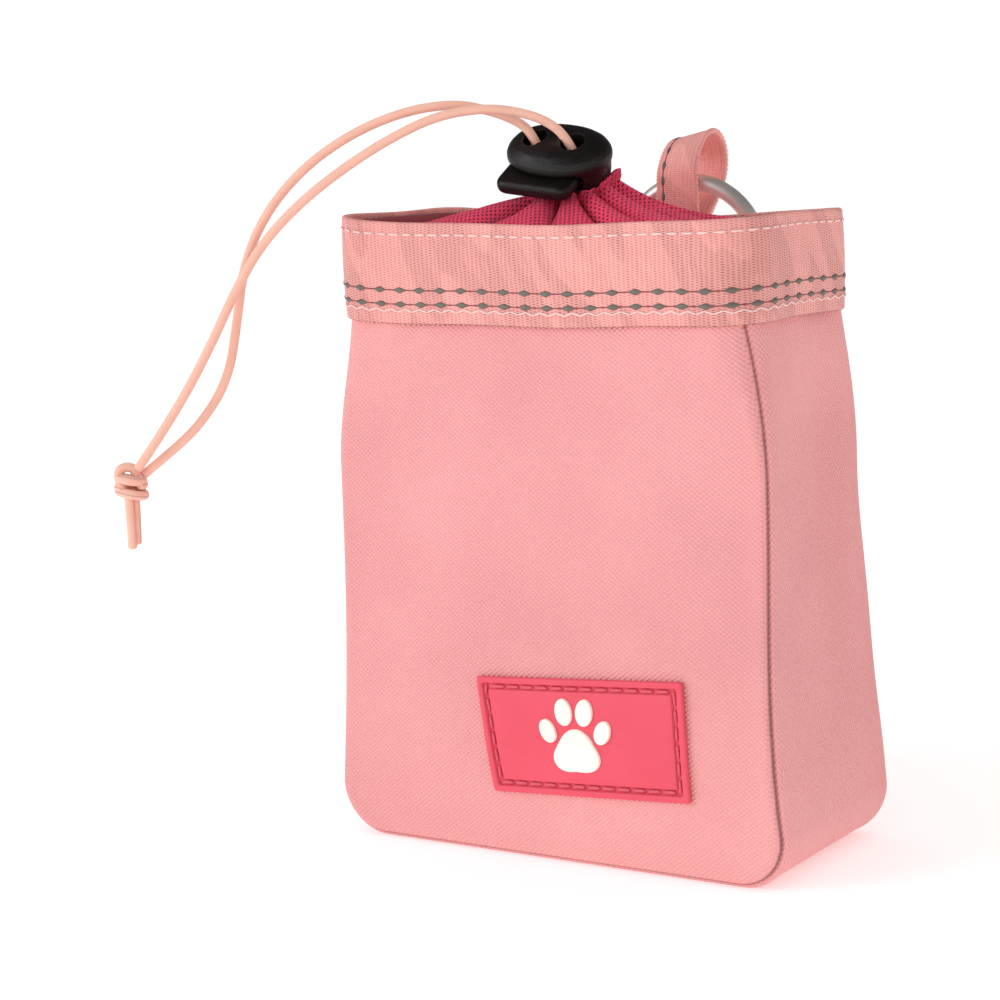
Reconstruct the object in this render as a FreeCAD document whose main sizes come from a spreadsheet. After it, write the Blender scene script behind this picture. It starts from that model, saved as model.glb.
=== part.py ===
import FreeCAD, Part
import Sketcher
import math
import os
import re

from FreeCAD import Placement, Rotation, Vector

# Treat pouch: a boxy coated-fabric bag with a webbing rim.
# It has a drawstring collar with a cord lock, and a ring on a webbing loop.
# Millimetres, +Z up. The origin is the middle of the flat base, and the front faces -Y.

DIMENSIONS = (
    # bag
    ("pouch_height", 158.0),
    ("half_width_top", 59.4),
    ("half_width_base", 64.0),
    ("widest_height", 40.0),
    ("half_depth", 28.5),
    ("base_round", 13.0),
    ("fabric", 1.2),
    ("tongue_half_width", 46.0),
    ("tongue_half_depth", 15.0),
    ("tongue_drop", 2.0),
    # webbing round the rim
    ("band_width", 25.0),
    ("band_thick", 1.4),
    ("band_half_width", 61.0),
    ("band_half_depth", 30.1),
    ("band_round", 14.0),
    ("row_thick", 0.35),
    ("row_width", 1.2),
    ("top_row_drop", 3.0),
    ("upper_row_drop", 16.6),
    ("lower_row_drop", 20.1),
    ("hem_row_drop", 21.6),
    # facing and lining
    ("facing_width", 8.0),
    ("facing_thick", 0.8),
    ("facing_half_width", 58.0),
    ("facing_half_depth", 27.2),
    ("facing_round", 11.0),
    ("lining_half_width", 56.0),
    ("lining_half_depth", 26.9),
    ("lining_round", 9.0),
    ("lining_thick", 0.5),
    ("lining_base", 2.8),
    ("lining_top", 149.6),
    # knitted collar and its gathered hem
    ("collar_foot", 150.2),
    ("collar_rise", 3.2),
    ("collar_half_width", 56.0),
    ("collar_half_depth", 25.0),
    ("collar_wall", 0.8),
    ("collar_neck_width", 17.4),
    ("collar_neck_depth", 12.4),
    ("hem_height", 156.0),
    ("hem_straight", 5.0),
    ("hem_bend", 10.0),
    ("hem_tube", 2.2),
    ("hem_bore", 1.5),
    ("cord_radius", 1.15),
    # cord lock, in its own frame before it is leaned forward
    ("lock_x", -3.0),
    ("lock_y", -6.0),
    ("lock_height", 170.4),
    ("lock_lean", 30.0),
    ("lock_roll", 10.0),
    ("lock_length", 27.0),
    ("lock_depth", 19.0),
    ("lock_tall", 12.0),
    ("lock_end_round", 9.3),
    ("lock_crown", 3.6),
    ("lock_foot", 1.2),
    ("lock_hole", 3.1),
    ("hole_offset", 4.9),
    ("plunger_half_width", 10.8),
    ("plunger_thick", 4.6),
    ("plunger_low", -3.9),
    ("plunger_front", -14.0),
    ("plunger_shoulder", -1.0),
    ("plunger_rear", 3.4),
    ("plunger_rear_half", 6.5),
    ("plunger_round", 2.5),
    ("plunger_gap", 0.3),
    ("plunger_travel", 3.0),
    ("slot_back", 1.4),
    ("slot_half_width", 1.7),
    ("spring_bore", 1.9),
    ("spring_front", -6.0),
    ("spring_radius", 1.25),
    ("spring_wire", 0.25),
    ("spring_turns", 9.0),
    ("spring_clear", 0.05),
    ("leg_low", -12.2),
    ("leg_tall", 17.2),
    # knot
    ("knot_core", 2.6),
    ("knot_wrap", 2.9),
    ("knot_height", 8.0),
    ("tail_length", 11.0),
    ("tail_apart", 0.05),
    # webbing loop and ring at the back
    ("loop_x", 8.3),
    ("loop_width", 12.0),
    ("loop_clear", 0.45),
    ("bartack_thick", 0.5),
    ("bartack_tall", 3.0),
    ("bartack_drop", 14.4),
    ("bartack_inset", 1.5),
    ("yarn_inset", 2.0),
    ("yarn_rise", 1.0),
    ("yarn_tall", 8.0),
    ("ring_radius", 19.9),
    ("ring_wire", 2.1),
    ("ring_y", 34.4),
    ("ring_top", 163.6),
    # rubber label
    ("label_x", 11.6),
    ("label_height", 33.0),
    ("label_half_width", 29.0),
    ("label_half_tall", 14.5),
    ("label_slant", 2.2),
    ("label_thick", 1.4),
    ("label_turn", 3.3),
    ("groove_inset", 2.6),
    ("groove_width", 1.2),
    ("groove_deep", 0.6),
    ("emblem_x", -1.0),
    ("emblem_thick", 0.6),
    ("stitch_long", 3.2),
    ("stitch_gap", 1.0),
    ("stitch_thick", 0.35),
)

# The webbing loop seen from the side: distance back from the rim band, height above the rim.
LOOP_OUTLINE = (
    (0.45, -15.0),
    (0.45, 11.0),
    (6.4, 17.5),
    (11.9, 20.2),
    (18.5, 14.5),
    (16.1, 5.0),
    (7.0, -2.8),
    (3.0, -8.0),
    (3.0, -15.0),
)
LOOP_EYE = (
    (1.75, -5.0),
    (1.75, 10.5),
    (7.2, 16.4),
    (11.7, 18.6),
    (17.0, 14.0),
    (14.9, 5.6),
    (6.3, -1.8),
    (3.9, -5.0),
)

# Routes of the two free strands: distance out from the lock, distance towards the front right, height.
# They lie in an upright plane that leaves the pouch over its front left corner.
STRAND_A = (
    (5.6, 0.3, 174.5),
    (7.3, 0.1, 178.3),
    (10.8, -0.4, 180.9),
    (16.6, -0.9, 183.4),
    (25.4, -1.2, 185.6),
    (38.0, -1.3, 184.2),
    (51.0, -1.3, 179.4),
    (63.0, -1.4, 171.8),
    (73.0, -1.4, 161.2),
    (79.2, -1.5, 148.5),
    (81.6, -1.5, 134.6),
    (84.6, -1.5, 120.6),
    (92.4, -1.4, 109.4),
    (101.8, -1.3, 101.8),
    (107.0, -1.2, 98.0),
)
STRAND_B = (
    (-3.0, 4.8, 172.5),
    (-1.2, 4.7, 176.3),
    (2.6, 4.5, 179.9),
    (8.4, 4.2, 182.4),
    (17.5, 3.9, 184.1),
    (29.5, 3.6, 182.8),
    (41.0, 3.3, 178.0),
    (53.0, 3.0, 171.2),
    (64.5, 2.7, 163.0),
    (74.5, 2.4, 153.2),
    (81.5, 2.1, 142.0),
    (88.0, 1.9, 129.6),
    (95.0, 1.7, 117.8),
    (102.4, 1.4, 107.2),
    (108.0, 1.2, 99.8),
)
STRAND_BEARING = 34.0  # the plane of the strands, in degrees from the pouch's left towards its front
KNOT_OUT = 110.2  # distance of the knot from the lock
KNOT_HEIGHT = 95.2

# The paw print on the label: distance across, height above the middle, radius.
EMBLEM_MARKS = (
    (0.0, -3.4, 5.6),
    (-7.6, 1.6, 2.3),
    (-2.9, 6.2, 2.6),
    (2.9, 6.2, 2.6),
    (7.6, 1.6, 2.3),
)

doc = FreeCAD.newDocument("treat_pouch")
sheet = doc.addObject("Spreadsheet::Sheet", "Dim")
for row, (alias, number) in enumerate(DIMENSIONS, start=1):
    sheet.set(f"A{row}", alias)
    sheet.set(f"B{row}", str(number))
    sheet.setAlias(f"B{row}", alias)
doc.recompute()

parts = []  # the finished sub-parts, one per node


def formula(text):
    """Turns a formula in plain aliases into one that reads the sheet."""
    return re.sub(r"[a-z][a-z_]+", lambda word: "Dim." + word.group(0), text)


def value(text):
    """The number that a formula gives now."""
    return float(sheet.evalExpression(formula(text)))


def bind(thing, **sizes):
    """Binds properties of an object to formulas in the sheet's aliases."""
    for name, text in sizes.items():
        thing.setExpression(name, formula(text))
    return thing


def finish(thing, label, placement=None):
    """Names a sub-part and keeps it for writing."""
    thing.Label = label
    if placement is not None:
        thing.Placement = placement
    parts.append(thing)
    return thing


# ---------------------------------------------------------------- sketches and bodies


def new_body(name):
    return doc.addObject("PartDesign::Body", name + "_body")


def new_sketch(body, name, plane="XY_Plane", height=None):
    """A sketch on one of the body's own planes, moved along the plane's normal by a formula."""
    sketch = body.newObject("Sketcher::SketchObject", name)
    origin = [f for f in body.Origin.OriginFeatures if f.Role == plane][0]
    sketch.AttachmentSupport = (origin, "")
    sketch.MapMode = "FlatFace"
    if height is not None:
        sketch.setExpression("AttachmentOffset.Base.z", formula(height))
    return sketch


def add_polygon(sketch, corners):
    """A closed polygon whose every corner is held by the sheet."""
    first = sketch.GeometryCount
    count = len(corners)
    points = [Vector(value(x), value(y), 0) for x, y in corners]
    for index in range(count):
        sketch.addGeometry(Part.LineSegment(points[index], points[(index + 1) % count]))
    for index in range(count):
        following = first + (index + 1) % count
        sketch.addConstraint(Sketcher.Constraint("Coincident", first + index, 2, following, 1))
    for index, (x, y) in enumerate(corners):
        for kind, text in (("DistanceX", x), ("DistanceY", y)):
            hold = Sketcher.Constraint(kind, first + index, 1, value(text))
            number = sketch.addConstraint(hold)
            sketch.setExpression(f"Constraints[{number}]", formula(text))


def rectangle(half_width, half_depth):
    """Corners of a rectangle centred on the origin."""
    return (
        (f"-({half_width})", f"-({half_depth})"),
        (half_width, f"-({half_depth})"),
        (half_width, half_depth),
        (f"-({half_width})", half_depth),
    )


def computed(feature):
    doc.recompute()
    return feature


def pad(body, sketch, length, midplane=False):
    feature = body.newObject("PartDesign::Pad", sketch.Name + "_pad")
    feature.Profile = sketch
    feature.SideType = "Symmetric" if midplane else "One side"
    return computed(bind(feature, Length=length))


def pocket(body, sketch, length):
    feature = body.newObject("PartDesign::Pocket", sketch.Name + "_pocket")
    feature.Profile = sketch
    return computed(bind(feature, Length=length))


def round_edges(body, feature, radius, chosen):
    """Rounds the edges of a feature that the test chosen(edge) picks."""
    names = [f"Edge{n}" for n, edge in enumerate(feature.Shape.Edges, start=1) if chosen(edge)]
    fillet = body.newObject("PartDesign::Fillet", feature.Name + "_round")
    fillet.Base = (feature, names)
    return computed(bind(fillet, Radius=radius))


def runs_along(edge, axis):
    """True for a straight edge along the given axis."""
    if edge.Curve.TypeId != "Part::GeomLine":
        return False
    way = edge.tangentAt(edge.FirstParameter)
    return abs(way.dot(axis)) > 0.999


X = Vector(1, 0, 0)
Y = Vector(0, 1, 0)
Z = Vector(0, 0, 1)


def rounded_ring(name, half_width, half_depth, rounding, wall, low, tall):
    """A closed upright strip with round corners: outer half sizes, corner radius, wall, foot, height."""
    body = new_body(name)
    outer = new_sketch(body, name + "_outer", height=low)
    add_polygon(outer, rectangle(half_width, half_depth))
    block = pad(body, outer, tall)
    block = round_edges(body, block, rounding, lambda edge: runs_along(edge, Z))
    tool = new_body(name + "_tool")
    inner = new_sketch(tool, name + "_inner", height=f"{low} - 1")
    add_polygon(inner, rectangle(f"{half_width} - {wall}", f"{half_depth} - {wall}"))
    core = pad(tool, inner, f"{tall} + 2")
    round_edges(tool, core, f"{rounding} - {wall}", lambda edge: runs_along(edge, Z))
    cut = doc.addObject("Part::Cut", name + "_strip")
    cut.Base = body
    cut.Tool = tool
    return finish(cut, name)


# ---------------------------------------------------------------- bag


BAND_FOOT = "pouch_height - band_width"


def panel(name, back_face):
    """A front or back panel: round lower corners, and a narrower tongue up inside the rim band."""
    body = new_body(name)
    outline = new_sketch(body, name + "_outline", "XZ_Plane")
    right = (
        ("half_width_base", "0"),
        ("half_width_base", "widest_height"),
        ("half_width_top", BAND_FOOT),
        ("tongue_half_width", BAND_FOOT),
        ("tongue_half_width", "pouch_height - tongue_drop"),
    )
    left = tuple((f"-({x})", z) for x, z in reversed(right))
    add_polygon(outline, right + left)
    cloth = pad(body, outline, "fabric")
    round_edges(
        body,
        cloth,
        "base_round",
        lambda edge: runs_along(edge, Y) and edge.CenterOfMass.z < 1.0,
    )
    body.setExpression("Placement.Base.y", formula(back_face))
    finish(body, name)


def gusset():
    """One strip that runs down the left side, under the base and up the right side."""
    body = new_body("gusset")
    outline = new_sketch(body, "gusset_outline", "XZ_Plane")
    right = (
        ("half_width_base", "0"),
        ("half_width_base", "widest_height"),
        ("half_width_top", BAND_FOOT),
        ("half_width_top", "pouch_height - tongue_drop"),
    )
    left = tuple((f"-({x})", z) for x, z in reversed(right))
    add_polygon(outline, right + left)
    block = pad(body, outline, "2 * (half_depth - fabric)", midplane=True)
    block = round_edges(
        body,
        block,
        "base_round",
        lambda edge: runs_along(edge, Y) and edge.CenterOfMass.z < 1.0,
    )
    tool = new_body("gusset_tool")
    inside = new_sketch(tool, "gusset_inside", "XZ_Plane")
    right = (
        ("half_width_base - fabric", "fabric"),
        ("half_width_base - fabric", "widest_height"),
        ("half_width_top - fabric", BAND_FOOT),
        ("half_width_top - fabric", "pouch_height + 1"),
    )
    left = tuple((f"-({x})", z) for x, z in reversed(right))
    add_polygon(inside, right + left)
    core = pad(tool, inside, "2 * half_depth + 2", midplane=True)
    round_edges(
        tool,
        core,
        "base_round - fabric",
        lambda edge: runs_along(edge, Y) and edge.CenterOfMass.z < value("fabric") + 1.0,
    )
    corners = []
    for side in (-1, 1):
        corner = doc.addObject("Part::Box", "gusset_corner")
        bind(
            corner,
            Length="2 * half_width_base + 2",
            Width="half_depth",
            Height="band_width + 1",
        )
        start = "tongue_half_depth" if side > 0 else "-tongue_half_depth - half_depth"
        corner.setExpression("Placement.Base.x", formula("-half_width_base - 1"))
        corner.setExpression("Placement.Base.y", formula(start))
        corner.setExpression("Placement.Base.z", formula(BAND_FOOT))
        corners.append(corner)
    tools = doc.addObject("Part::MultiFuse", "gusset_tools")
    tools.Shapes = [tool] + corners
    cut = doc.addObject("Part::Cut", "gusset_strip")
    cut.Base = body
    cut.Tool = tools
    finish(cut, "gusset")


def lining():
    """The inner bag, open at the top."""
    body = new_body("lining")
    outline = new_sketch(body, "lining_outline", height="lining_base")
    add_polygon(outline, rectangle("lining_half_width", "lining_half_depth"))
    block = pad(body, outline, "lining_top - lining_base")
    block = round_edges(body, block, "lining_round", lambda edge: runs_along(edge, Z))
    hollow = new_sketch(body, "lining_hollow", height="lining_top")
    add_polygon(
        hollow,
        rectangle("lining_half_width - lining_thick", "lining_half_depth - lining_thick"),
    )
    before = body.Shape.Volume
    cut = pocket(body, hollow, "lining_top - lining_base - lining_thick")
    assert cut.Shape.Volume < 0.2 * before
    finish(body, "lining")


def band_rows():
    """The thread and yarn rows that run round the rim band, each a thin strip on its face."""
    rows = (
        ("band_top_stitching", "top_row_drop"),
        ("reflective_yarn_upper", "upper_row_drop"),
        ("reflective_yarn_lower", "lower_row_drop"),
        ("band_hem_stitching", "hem_row_drop"),
    )
    for name, drop in rows:
        tall = "row_width" if "yarn" in name else "row_width / 2"
        rounded_ring(
            name,
            "band_half_width + row_thick",
            "band_half_depth + row_thick",
            "band_round + row_thick",
            "row_thick",
            f"pouch_height - {drop} - ({tall}) / 2",
            tall,
        )


# ---------------------------------------------------------------- collar


def loft_of_ellipses(body, name, kind, levels):
    """A loft through upright-stacked ellipses: (half width, half depth, height) formulas."""
    sketches = []
    for index, (half_width, half_depth, height) in enumerate(levels):
        sketch = new_sketch(body, f"{name}_{index}", height=height)
        wide, deep = value(half_width), value(half_depth)
        sketch.addGeometry(Part.Ellipse(Vector(wide, 0, 0), Vector(0, deep, 0), Vector(0, 0, 0)))
        sketch.exposeInternalGeometry(0)
        sketch.addConstraint(Sketcher.Constraint("Coincident", 0, 3, -1, 1))
        for line, text in ((1, half_width), (2, half_depth)):
            number = sketch.addConstraint(
                Sketcher.Constraint("Distance", line, 2 * value(text))
            )
            sketch.setExpression(f"Constraints[{number}]", formula(f"2 * ({text})"))
        sketch.addConstraint(Sketcher.Constraint("Horizontal", 1))
        sketches.append(sketch)
    loft = body.newObject("PartDesign::" + kind, name)
    loft.Profile = sketches[0]
    loft.Sections = sketches[1:]
    return computed(loft)


def mesh_collar():
    """The knitted collar: a thin funnel from inside the rim up to its gathered neck."""
    body = new_body("mesh_collar")
    top = "collar_foot + collar_rise"
    loft_of_ellipses(
        body,
        "collar_outer",
        "AdditiveLoft",
        (
            ("collar_half_width", "collar_half_depth", "collar_foot"),
            ("collar_neck_width", "collar_neck_depth", top),
        ),
    )
    solid = body.Shape.Volume
    inner = loft_of_ellipses(
        body,
        "collar_inner",
        "SubtractiveLoft",
        (
            (
                "collar_half_width - 6 * collar_wall",
                "collar_half_depth - 2 * collar_wall",
                "collar_foot - 0.01",
            ),
            (
                "collar_neck_width - 2 * collar_wall",
                "collar_neck_depth - 2 * collar_wall",
                f"{top} + 0.01",
            ),
        ),
    )
    assert inner.Shape.Volume < 0.6 * solid
    finish(body, "mesh_collar")


def racetrack(name, tube):
    """A closed tube along two straights and two half circles, centred on the origin."""
    pieces = []
    for side in (-1, 1):
        bend = doc.addObject("Part::Torus", name + "_bend")
        bind(bend, Radius1="hem_bend", Radius2=tube)
        bend.Angle3 = 180
        bend.Placement = Placement(Vector(0, 0, 0), Rotation(Z, -90 * side))
        bend.setExpression("Placement.Base.x", formula(f"{side} * hem_straight"))
        run = doc.addObject("Part::Cylinder", name + "_run")
        bind(run, Radius=tube, Height="2 * hem_straight")
        run.Placement = Placement(Vector(0, 0, 0), Rotation(Y, 90))
        run.setExpression("Placement.Base.x", formula("-hem_straight"))
        run.setExpression("Placement.Base.y", formula(f"{side} * hem_bend"))
        pieces += [bend, run]
    whole = doc.addObject("Part::MultiFuse", name + "_track")
    whole.Shapes = pieces
    return whole


def collar_hem():
    """The gathered hem is a hollow tube, and the drawcord runs round inside it."""
    hem = doc.addObject("Part::Cut", "hem_tube")
    hem.Base = racetrack("hem_skin", "hem_tube")
    hem.Tool = racetrack("hem_channel", "hem_bore")
    hem.setExpression("Placement.Base.z", formula("hem_height"))
    finish(hem, "collar_hem")
    cord = racetrack("channel_cord", "cord_radius")
    cord.setExpression("Placement.Base.z", formula("hem_height"))
    finish(cord, "channel_cord")


# ---------------------------------------------------------------- cord lock


def lock_place():
    """Where the lock's own frame sits: right end lower, top leaning towards the front."""
    base = Vector(value("lock_x"), value("lock_y"), value("lock_height"))
    return Placement(base, Rotation(X, value("lock_lean")) * Rotation(Y, value("lock_roll")))


def box(name, corner, size):
    """A box from formulas for its low corner and its size."""
    thing = doc.addObject("Part::Box", name)
    bind(thing, Length=size[0], Width=size[1], Height=size[2])
    for axis, text in zip("xyz", corner):
        thing.setExpression(f"Placement.Base.{axis}", formula(text))
    return thing


def lock_body():
    body = new_body("lock_body")
    outline = new_sketch(body, "lock_outline", height="-lock_tall / 2")
    add_polygon(outline, rectangle("lock_length / 2", "lock_depth / 2"))
    block = pad(body, outline, "lock_tall")
    block = round_edges(body, block, "lock_end_round", lambda edge: runs_along(edge, Z))
    high = value("lock_tall") / 2
    block = round_edges(
        body, block, "lock_crown", lambda edge: edge.BoundBox.ZMin > high - 0.01
    )
    round_edges(body, block, "lock_foot", lambda edge: edge.BoundBox.ZMax < 0.01 - high)

    tall = "plunger_thick + 2 * plunger_gap"
    low = "plunger_low - plunger_gap"
    stroke = "plunger_travel + plunger_gap"
    mouth = box(
        "lock_mouth",
        ("-plunger_half_width - plunger_gap", "-lock_depth", low),
        ("2 * (plunger_half_width + plunger_gap)", f"lock_depth + plunger_shoulder + {stroke}", tall),
    )
    well = box(
        "lock_well",
        ("-plunger_rear_half - plunger_gap", "-lock_depth", low),
        ("2 * (plunger_rear_half + plunger_gap)", f"lock_depth + plunger_rear + {stroke}", tall),
    )
    holes = []
    for side in (-1, 1):
        hole = doc.addObject("Part::Cylinder", "lock_cord_hole")
        bind(hole, Radius="lock_hole", Height="lock_tall + 2")
        hole.setExpression("Placement.Base.x", formula(f"{side} * hole_offset"))
        hole.setExpression("Placement.Base.z", formula("-lock_tall / 2 - 1"))
        holes.append(hole)
    tools = doc.addObject("Part::MultiFuse", "lock_tools")
    tools.Shapes = [mouth, well] + holes
    cut = doc.addObject("Part::Cut", "lock_shell")
    cut.Base = body
    cut.Tool = tools
    finish(cut, "lock_body", lock_place())


def lock_plunger():
    """The thumb tab, with a narrower rear end, a slot for each strand and a bore for the spring."""
    body = new_body("lock_plunger")
    outline = new_sketch(body, "plunger_outline", height="plunger_low")
    right = (
        ("plunger_half_width", "plunger_front"),
        ("plunger_half_width", "plunger_shoulder"),
        ("plunger_rear_half", "plunger_shoulder"),
        ("plunger_rear_half", "plunger_rear"),
    )
    left = tuple((f"-({x})", y) for x, y in reversed(right))
    add_polygon(outline, right + left)
    block = pad(body, outline, "plunger_thick")
    front = value("plunger_front")
    block = round_edges(
        body,
        block,
        "plunger_round",
        lambda edge: runs_along(edge, Z) and edge.CenterOfMass.y < front + 0.5,
    )
    round_edges(
        body,
        block,
        "plunger_round / 2",
        lambda edge: runs_along(edge, X) and edge.CenterOfMass.y < front + 0.5,
    )
    slots = []
    for side in (-1, 1):
        slots.append(
            box(
                "plunger_slot",
                (
                    f"{side} * hole_offset - slot_half_width",
                    "-slot_back - plunger_travel",
                    "plunger_low - 1",
                ),
                ("2 * slot_half_width", "2 * slot_back + plunger_travel", "plunger_thick + 2"),
            )
        )
    bore = doc.addObject("Part::Cylinder", "plunger_spring_bore")
    bind(bore, Radius="spring_bore", Height="plunger_rear - spring_front + 1")
    bore.Placement = Placement(Vector(0, 0, 0), Rotation(X, -90))
    bore.setExpression("Placement.Base.y", formula("spring_front"))
    bore.setExpression("Placement.Base.z", formula("plunger_low + plunger_thick / 2"))
    tools = doc.addObject("Part::MultiFuse", "plunger_tools")
    tools.Shapes = slots + [bore]
    cut = doc.addObject("Part::Cut", "plunger_shell")
    cut.Base = body
    cut.Tool = tools
    finish(cut, "lock_plunger", lock_place())


def lock_spring():
    """A coil between the bottom of the plunger's bore and the end wall of the lock's well."""
    wire = value("spring_wire")
    radius = value("spring_radius")
    start = value("spring_front + spring_wire + spring_clear")
    end = value("plunger_rear + plunger_travel + plunger_gap - spring_wire - spring_clear")
    pitch = (end - start) / value("spring_turns")
    path = Part.makeHelix(pitch, end - start, radius)
    section = Part.Wire(Part.makeCircle(wire, Vector(radius, 0, 0), Y))
    coil = Part.Wire(path.Edges).makePipeShell([section], True, True)
    thing = doc.addObject("Part::Feature", "lock_spring_coil")
    thing.Shape = coil
    foot = Vector(0, start, value("plunger_low + plunger_thick / 2"))
    finish(thing, "lock_spring", lock_place() * Placement(foot, Rotation(X, -90)))


# ---------------------------------------------------------------- drawcord


def strand_point(out, aside, height):
    """A place beside the lock, from the strands' own plane into the pouch's frame."""
    bearing = math.radians(STRAND_BEARING)
    x = value("lock_x") - out * math.cos(bearing) + aside * math.sin(bearing)
    y = value("lock_y") - out * math.sin(bearing) - aside * math.cos(bearing)
    return Vector(x, y, height)


def rounded_path(points, closed=False, radius=None):
    """Straight runs joined by tangent arcs. With no radius, each arc is as large as it can be."""
    count = len(points)
    inner = range(count) if closed else range(1, count - 1)
    bends = {}
    radii = []
    for index in inner:
        here = points[index]
        back = points[index - 1] - here
        ahead = points[(index + 1) % count] - here
        turn = math.pi - back.getAngle(ahead)
        shorter = min(back.Length, ahead.Length)
        size = 0.45 * shorter / math.tan(turn / 2) if radius is None else radius
        reach = size * math.tan(turn / 2)
        back.normalize()
        ahead.normalize()
        middle = back + ahead
        middle.normalize()
        centre = here + middle * (size / math.cos(turn / 2))
        crown = centre - middle * size
        bends[index] = (here + back * reach, crown, here + ahead * reach)
        radii.append(size)
    edges = []
    place = bends[count - 1][2] if closed else points[0]
    for index in range(0 if closed else 1, count):
        if index in bends:
            start, crown, end = bends[index]
            edges.append(Part.LineSegment(place, start).toShape())
            edges.append(Part.Arc(start, crown, end).toShape())
            place = end
        else:
            edges.append(Part.LineSegment(place, points[index]).toShape())
    return Part.Wire(edges), radii


def strand(name, route):
    """One free strand of the drawcord, from the lock's hole to the knot."""
    radius = value("cord_radius")
    points = [strand_point(*place) for place in route]
    path, radii = rounded_path(points)
    section = Part.Wire(Part.makeCircle(radius, points[0], points[1] - points[0]))
    tube = path.makePipeShell([section], True, False)
    ideal = math.pi * radius**2 * path.Length
    print(
        f"{name}: length {path.Length:.1f}, volume ratio {tube.Volume / ideal:.4f}, radii",
        " ".join(f"{size:.1f}" for size in radii),
    )
    thing = doc.addObject("Part::Feature", name + "_tube")
    thing.Shape = tube
    finish(thing, name, Placement())


def cord_legs():
    """The two lengths of cord that come up from the hem through the lock."""
    legs = []
    for side in (-1, 1):
        leg = doc.addObject("Part::Cylinder", "cord_leg")
        bind(leg, Radius="cord_radius", Height="leg_tall")
        leg.setExpression("Placement.Base.x", formula(f"{side} * hole_offset"))
        leg.setExpression("Placement.Base.z", formula("leg_low"))
        legs.append(leg)
    pair = doc.addObject("Part::Compound", "cord_leg_pair")
    pair.Links = legs
    finish(pair, "cord_legs", lock_place())


def cord_knot():
    """Two wraps round a short core, with the two cut ends hanging below."""
    centre = strand_point(KNOT_OUT, 0, KNOT_HEIGHT)
    body = new_body("cord_knot")
    outline = new_sketch(body, "knot_outline", "XZ_Plane")
    crest = "knot_wrap + cord_radius"
    upper = (
        (crest, "0.5 * cord_radius"),
        (crest, "1.5 * cord_radius"),
        ("knot_core", "2 * cord_radius"),
        ("knot_core", "knot_height / 2"),
        ("0", "knot_height / 2"),
    )
    lower = tuple((x, f"-({z})") for x, z in reversed(upper))
    add_polygon(outline, lower + (("knot_wrap", "0"),) + upper)
    turned = body.newObject("PartDesign::Revolution", "knot_turned")
    turned.Profile = outline
    turned.ReferenceAxis = (outline, ["V_Axis"])
    turned.Angle = 360
    computed(turned)
    finish(body, "cord_knot", Placement(centre, Rotation()))

    tails = []
    for side in (-1, 1):
        tail = doc.addObject("Part::Cylinder", "knot_tail")
        bind(tail, Radius="cord_radius", Height="tail_length")
        foot = strand_point(side * value("cord_radius + tail_apart"), 0, 0)
        foot -= strand_point(0, 0, 0)
        tail.Placement = Placement(foot, Rotation())
        tail.setExpression("Placement.Base.z", formula("-knot_height / 2 - tail_length"))
        tails.append(tail)
    pair = doc.addObject("Part::Compound", "knot_tails")
    pair.Links = tails
    finish(pair, "cord_tails", Placement(centre, Rotation()))


# ---------------------------------------------------------------- loop and ring


def ring_loop():
    """Webbing folded into an eye behind the rim, its two ends sewn to the band."""
    behind = value("band_half_depth")
    rim = value("pouch_height")
    width = value("loop_width")
    left = value("loop_x") - width / 2
    outline = [Vector(left, behind + y, rim + z) for y, z in LOOP_OUTLINE]
    skin, _ = rounded_path(outline)
    foot = Part.LineSegment(outline[-1], outline[0]).toShape()
    eye, _ = rounded_path([Vector(left, behind + y, rim + z) for y, z in LOOP_EYE], closed=True)
    side = Part.Face(Part.Wire(skin.Edges + [foot])).cut(Part.Face(eye))
    thing = doc.addObject("Part::Feature", "ring_loop_strip")
    thing.Shape = side.Faces[0].extrude(Vector(width, 0, 0))
    finish(thing, "ring_loop", Placement())

    tack = box(
        "bartack_block",
        (
            "loop_x - loop_width / 2 + bartack_inset",
            f"band_half_depth + {LOOP_OUTLINE[-1][0]}",
            "pouch_height - bartack_drop",
        ),
        ("loop_width - 2 * bartack_inset", "bartack_thick", "bartack_tall"),
    )
    finish(tack, "loop_bartack")
    yarn = box(
        "loop_yarn_strip",
        (
            "loop_x - loop_width / 2 + yarn_inset",
            "band_half_depth + loop_clear - row_thick",
            "pouch_height + yarn_rise",
        ),
        ("row_width", "row_thick", "yarn_tall"),
    )
    finish(yarn, "loop_reflective_yarn")


def ring():
    thing = doc.addObject("Part::Torus", "ring_hoop")
    bind(thing, Radius1="ring_radius", Radius2="ring_wire")
    thing.Placement = Placement(Vector(0, 0, 0), Rotation(X, 90))
    thing.setExpression("Placement.Base.x", formula("loop_x"))
    thing.setExpression("Placement.Base.y", formula("ring_y"))
    thing.setExpression("Placement.Base.z", formula("ring_top - ring_radius"))
    finish(thing, "ring")


# ---------------------------------------------------------------- label


def label_outline(inset):
    """The label's four corners, drawn in by a formula. Its left edge slants inwards at the foot."""
    wide = f"label_half_width - ({inset})"
    tall = f"label_half_tall - ({inset})"
    return (
        (f"-({wide}) + label_slant", f"-({tall})"),
        (wide, f"-({tall})"),
        (wide, tall),
        (f"-({wide})", tall),
    )


def label_place():
    base = Vector(value("label_x"), -value("half_depth"), value("label_height"))
    return Placement(base, Rotation(-Y, value("label_turn")))


def label_patch():
    body = new_body("label_patch")
    outline = new_sketch(body, "label_outline", "XZ_Plane")
    add_polygon(outline, label_outline("0"))
    block = pad(body, outline, "label_thick")
    groove = new_sketch(body, "label_groove", "XZ_Plane", height="label_thick")
    add_polygon(groove, label_outline("groove_inset"))
    add_polygon(groove, label_outline("groove_inset + groove_width"))
    before = block.Shape.Volume
    cut = pocket(body, groove, "groove_deep")
    assert cut.Shape.Volume < before - 10
    finish(body, "label_patch", label_place())


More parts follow.
